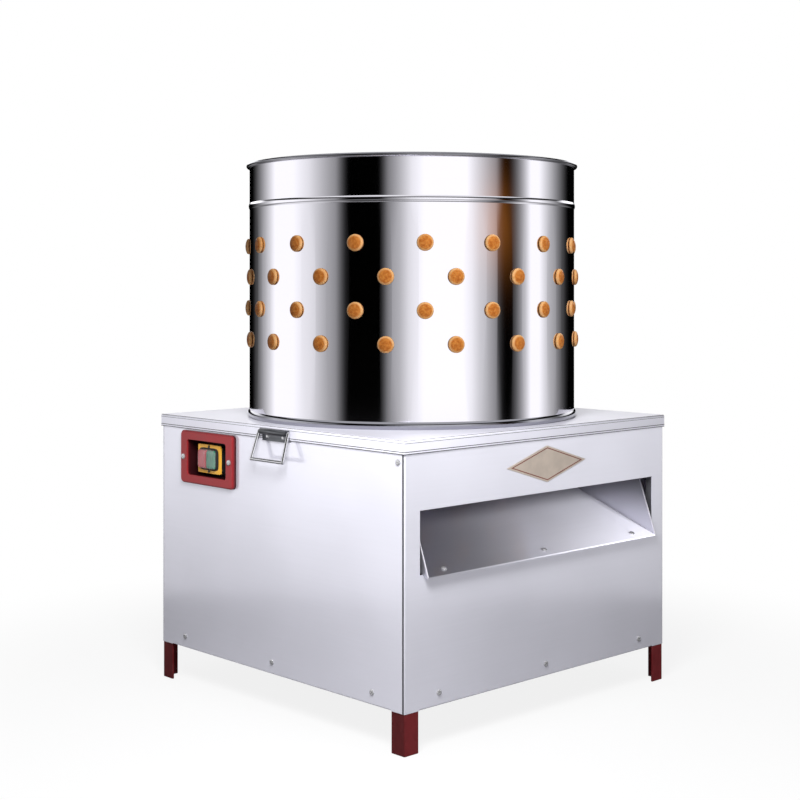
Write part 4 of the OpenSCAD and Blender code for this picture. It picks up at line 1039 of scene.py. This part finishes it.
def make_world():
    """White behind the object, soft boxes and dark flags in its reflections, even light all round."""
    world = bpy.data.worlds.new("studio")
    bpy.context.scene.world = world
    world.use_nodes = True
    tree = Tree(world.node_tree)
    direction = tree.add("TexCoord").outputs["Generated"]
    towards = tree.vector("DOT_PRODUCT", direction, -CAMERA_AIM, output="Value")
    sideways = tree.vector("DOT_PRODUCT", direction, CAMERA_RIGHT, output="Value")
    angle = tree.math("ARCTAN2", sideways, towards)
    height = tree.parts(direction)["Z"]
    deep = tree.span(height, *DEEP_GATE, 1.0, DEEP_SHARE)
    below = tree.math("MULTIPLY", tree.span(height, *UNDER_GATE), deep)
    behind = tree.math("MULTIPLY", tree.span(height, *BACK_GATE), tree.span(towards, *BACK_TURN))
    level = tree.blend(below, studio_ring(tree, angle), grey(UNDER_LEVEL))
    level = tree.blend(behind, level, grey(BACK_LEVEL))
    level = tree.blend(tree.span(height, *GAP_GATE), level, grey(GAP_LEVEL))
    level = tree.blend(tree.span(height, *CEILING_GATE), level, grey(CEILING_LEVEL))
    level = tree.blend(warm_share(tree, angle, height), level, rgba(WARM_PATCH), blend_type="ADD")
    rays = tree.add("LightPath")
    lit = tree.blend(rays.outputs["Is Glossy Ray"], grey(AMBIENT_LEVEL), level)
    background = world.node_tree.nodes["Background"]
    tree.feed(background.inputs["Color"], tree.blend(rays.outputs["Is Camera Ray"], lit, grey(1.0)))


def make_floor():
    """Pale round floor that keeps the shadow and runs out into the white behind it."""
    mesh = bmesh.new()
    bmesh.ops.create_circle(mesh, cap_ends=True, radius=FLOOR_RADIUS, segments=FLOOR_STEPS)
    data = bpy.data.meshes.new("floor")
    mesh.to_mesh(data)
    mesh.free()
    floor = bpy.data.objects.new("floor", data)
    bpy.context.scene.collection.objects.link(floor)
    material, tree, shader = new_material("floor", Roughness=0.8, Specular_IOR_Level=0.1)
    rays = tree.add("LightPath")
    paint = tree.vary(tree.noise(scale=2.0), FLOOR_COLOR, dark=0.98, light=1.02)
    seen = tree.blend(rays.outputs["Is Glossy Ray"], paint, tint(FLOOR_COLOR, FLOOR_IN_STEEL))
    tree.feed(shader.inputs["Base Color"], seen)
    away = tree.vector("LENGTH", tree.place(), output="Value")
    glow = tree.span(away, FLOOR_FADE, FLOOR_RADIUS, FLOOR_GLOW, 1.0)
    mix = tree.add("MixShader")
    tree.feed(mix.inputs["Fac"], tree.math("MULTIPLY", glow, rays.outputs["Is Camera Ray"]))
    tree.feed(mix.inputs[1], shader.outputs["BSDF"])
    tree.feed(mix.inputs[2], tree.add("Emission").outputs["Emission"])
    output = next(node for node in material.node_tree.nodes if node.type == "OUTPUT_MATERIAL")
    tree.feed(output.inputs["Surface"], mix.outputs["Shader"])
    dress(floor, material)
    return floor


def add_lamp(name, kind, place, target, power, state, pieces, **settings):
    """Hang a lamp that lights the matt surfaces and isn't seen in the polished ones.

    It is kept off some pieces (EXCLUDE) or on them alone (INCLUDE), as flags on stands would.
    """
    data = bpy.data.lights.new(name, kind)
    data.energy = power
    for key, value in settings.items():
        setattr(data, key, value)
    lamp = bpy.data.objects.new(name, data)
    bpy.context.scene.collection.objects.link(lamp)
    lamp.location = place
    lamp.rotation_euler = (Vector(target) - Vector(place)).to_track_quat("-Z", "Y").to_euler()
    lamp.visible_glossy = False
    flagged = bpy.data.collections.new(name + "_flag")
    for piece in pieces:
        flagged.objects.link(piece)
    for item in flagged.collection_objects:
        item.light_linking.link_state = state
    lamp.light_linking.receiver_collection = flagged


make_camera()
make_world()
floor = make_floor()
chute = nodes["chute"]
legs = [piece for name, piece in nodes.items() if name.endswith("_leg")]
add_lamp(
    "key_light", "AREA", place=(-0.9, -0.78, 1.12), target=(-0.25, -0.25, 0.4), power=24.0,
    state="EXCLUDE", pieces=[chute, *legs, *wall_rows], size=0.5,
)
add_lamp(
    "chute_light", "SPOT", place=(0.32, -1.15, 0.56), target=(0.33, -0.68, 0.17), power=142.0,
    state="INCLUDE", pieces=[chute], spot_size=math.radians(76), spot_blend=1.0, shadow_soft_size=0.18,
)
add_lamp(
    "finger_light", "AREA", place=(-0.74, -1.75, 1.65), target=(0, 0, 0.6), power=48.0,
    state="INCLUDE", pieces=[*legs, *wall_rows], size=0.4,
)
add_lamp(
    "fill_light", "AREA", place=(1.5, 1.5, 0.9), target=(0.2, 0.2, 0.3), power=38.0,
    state="EXCLUDE", pieces=[floor], size=0.8,
)
bpy.context.scene.view_settings.view_transform = "Standard"
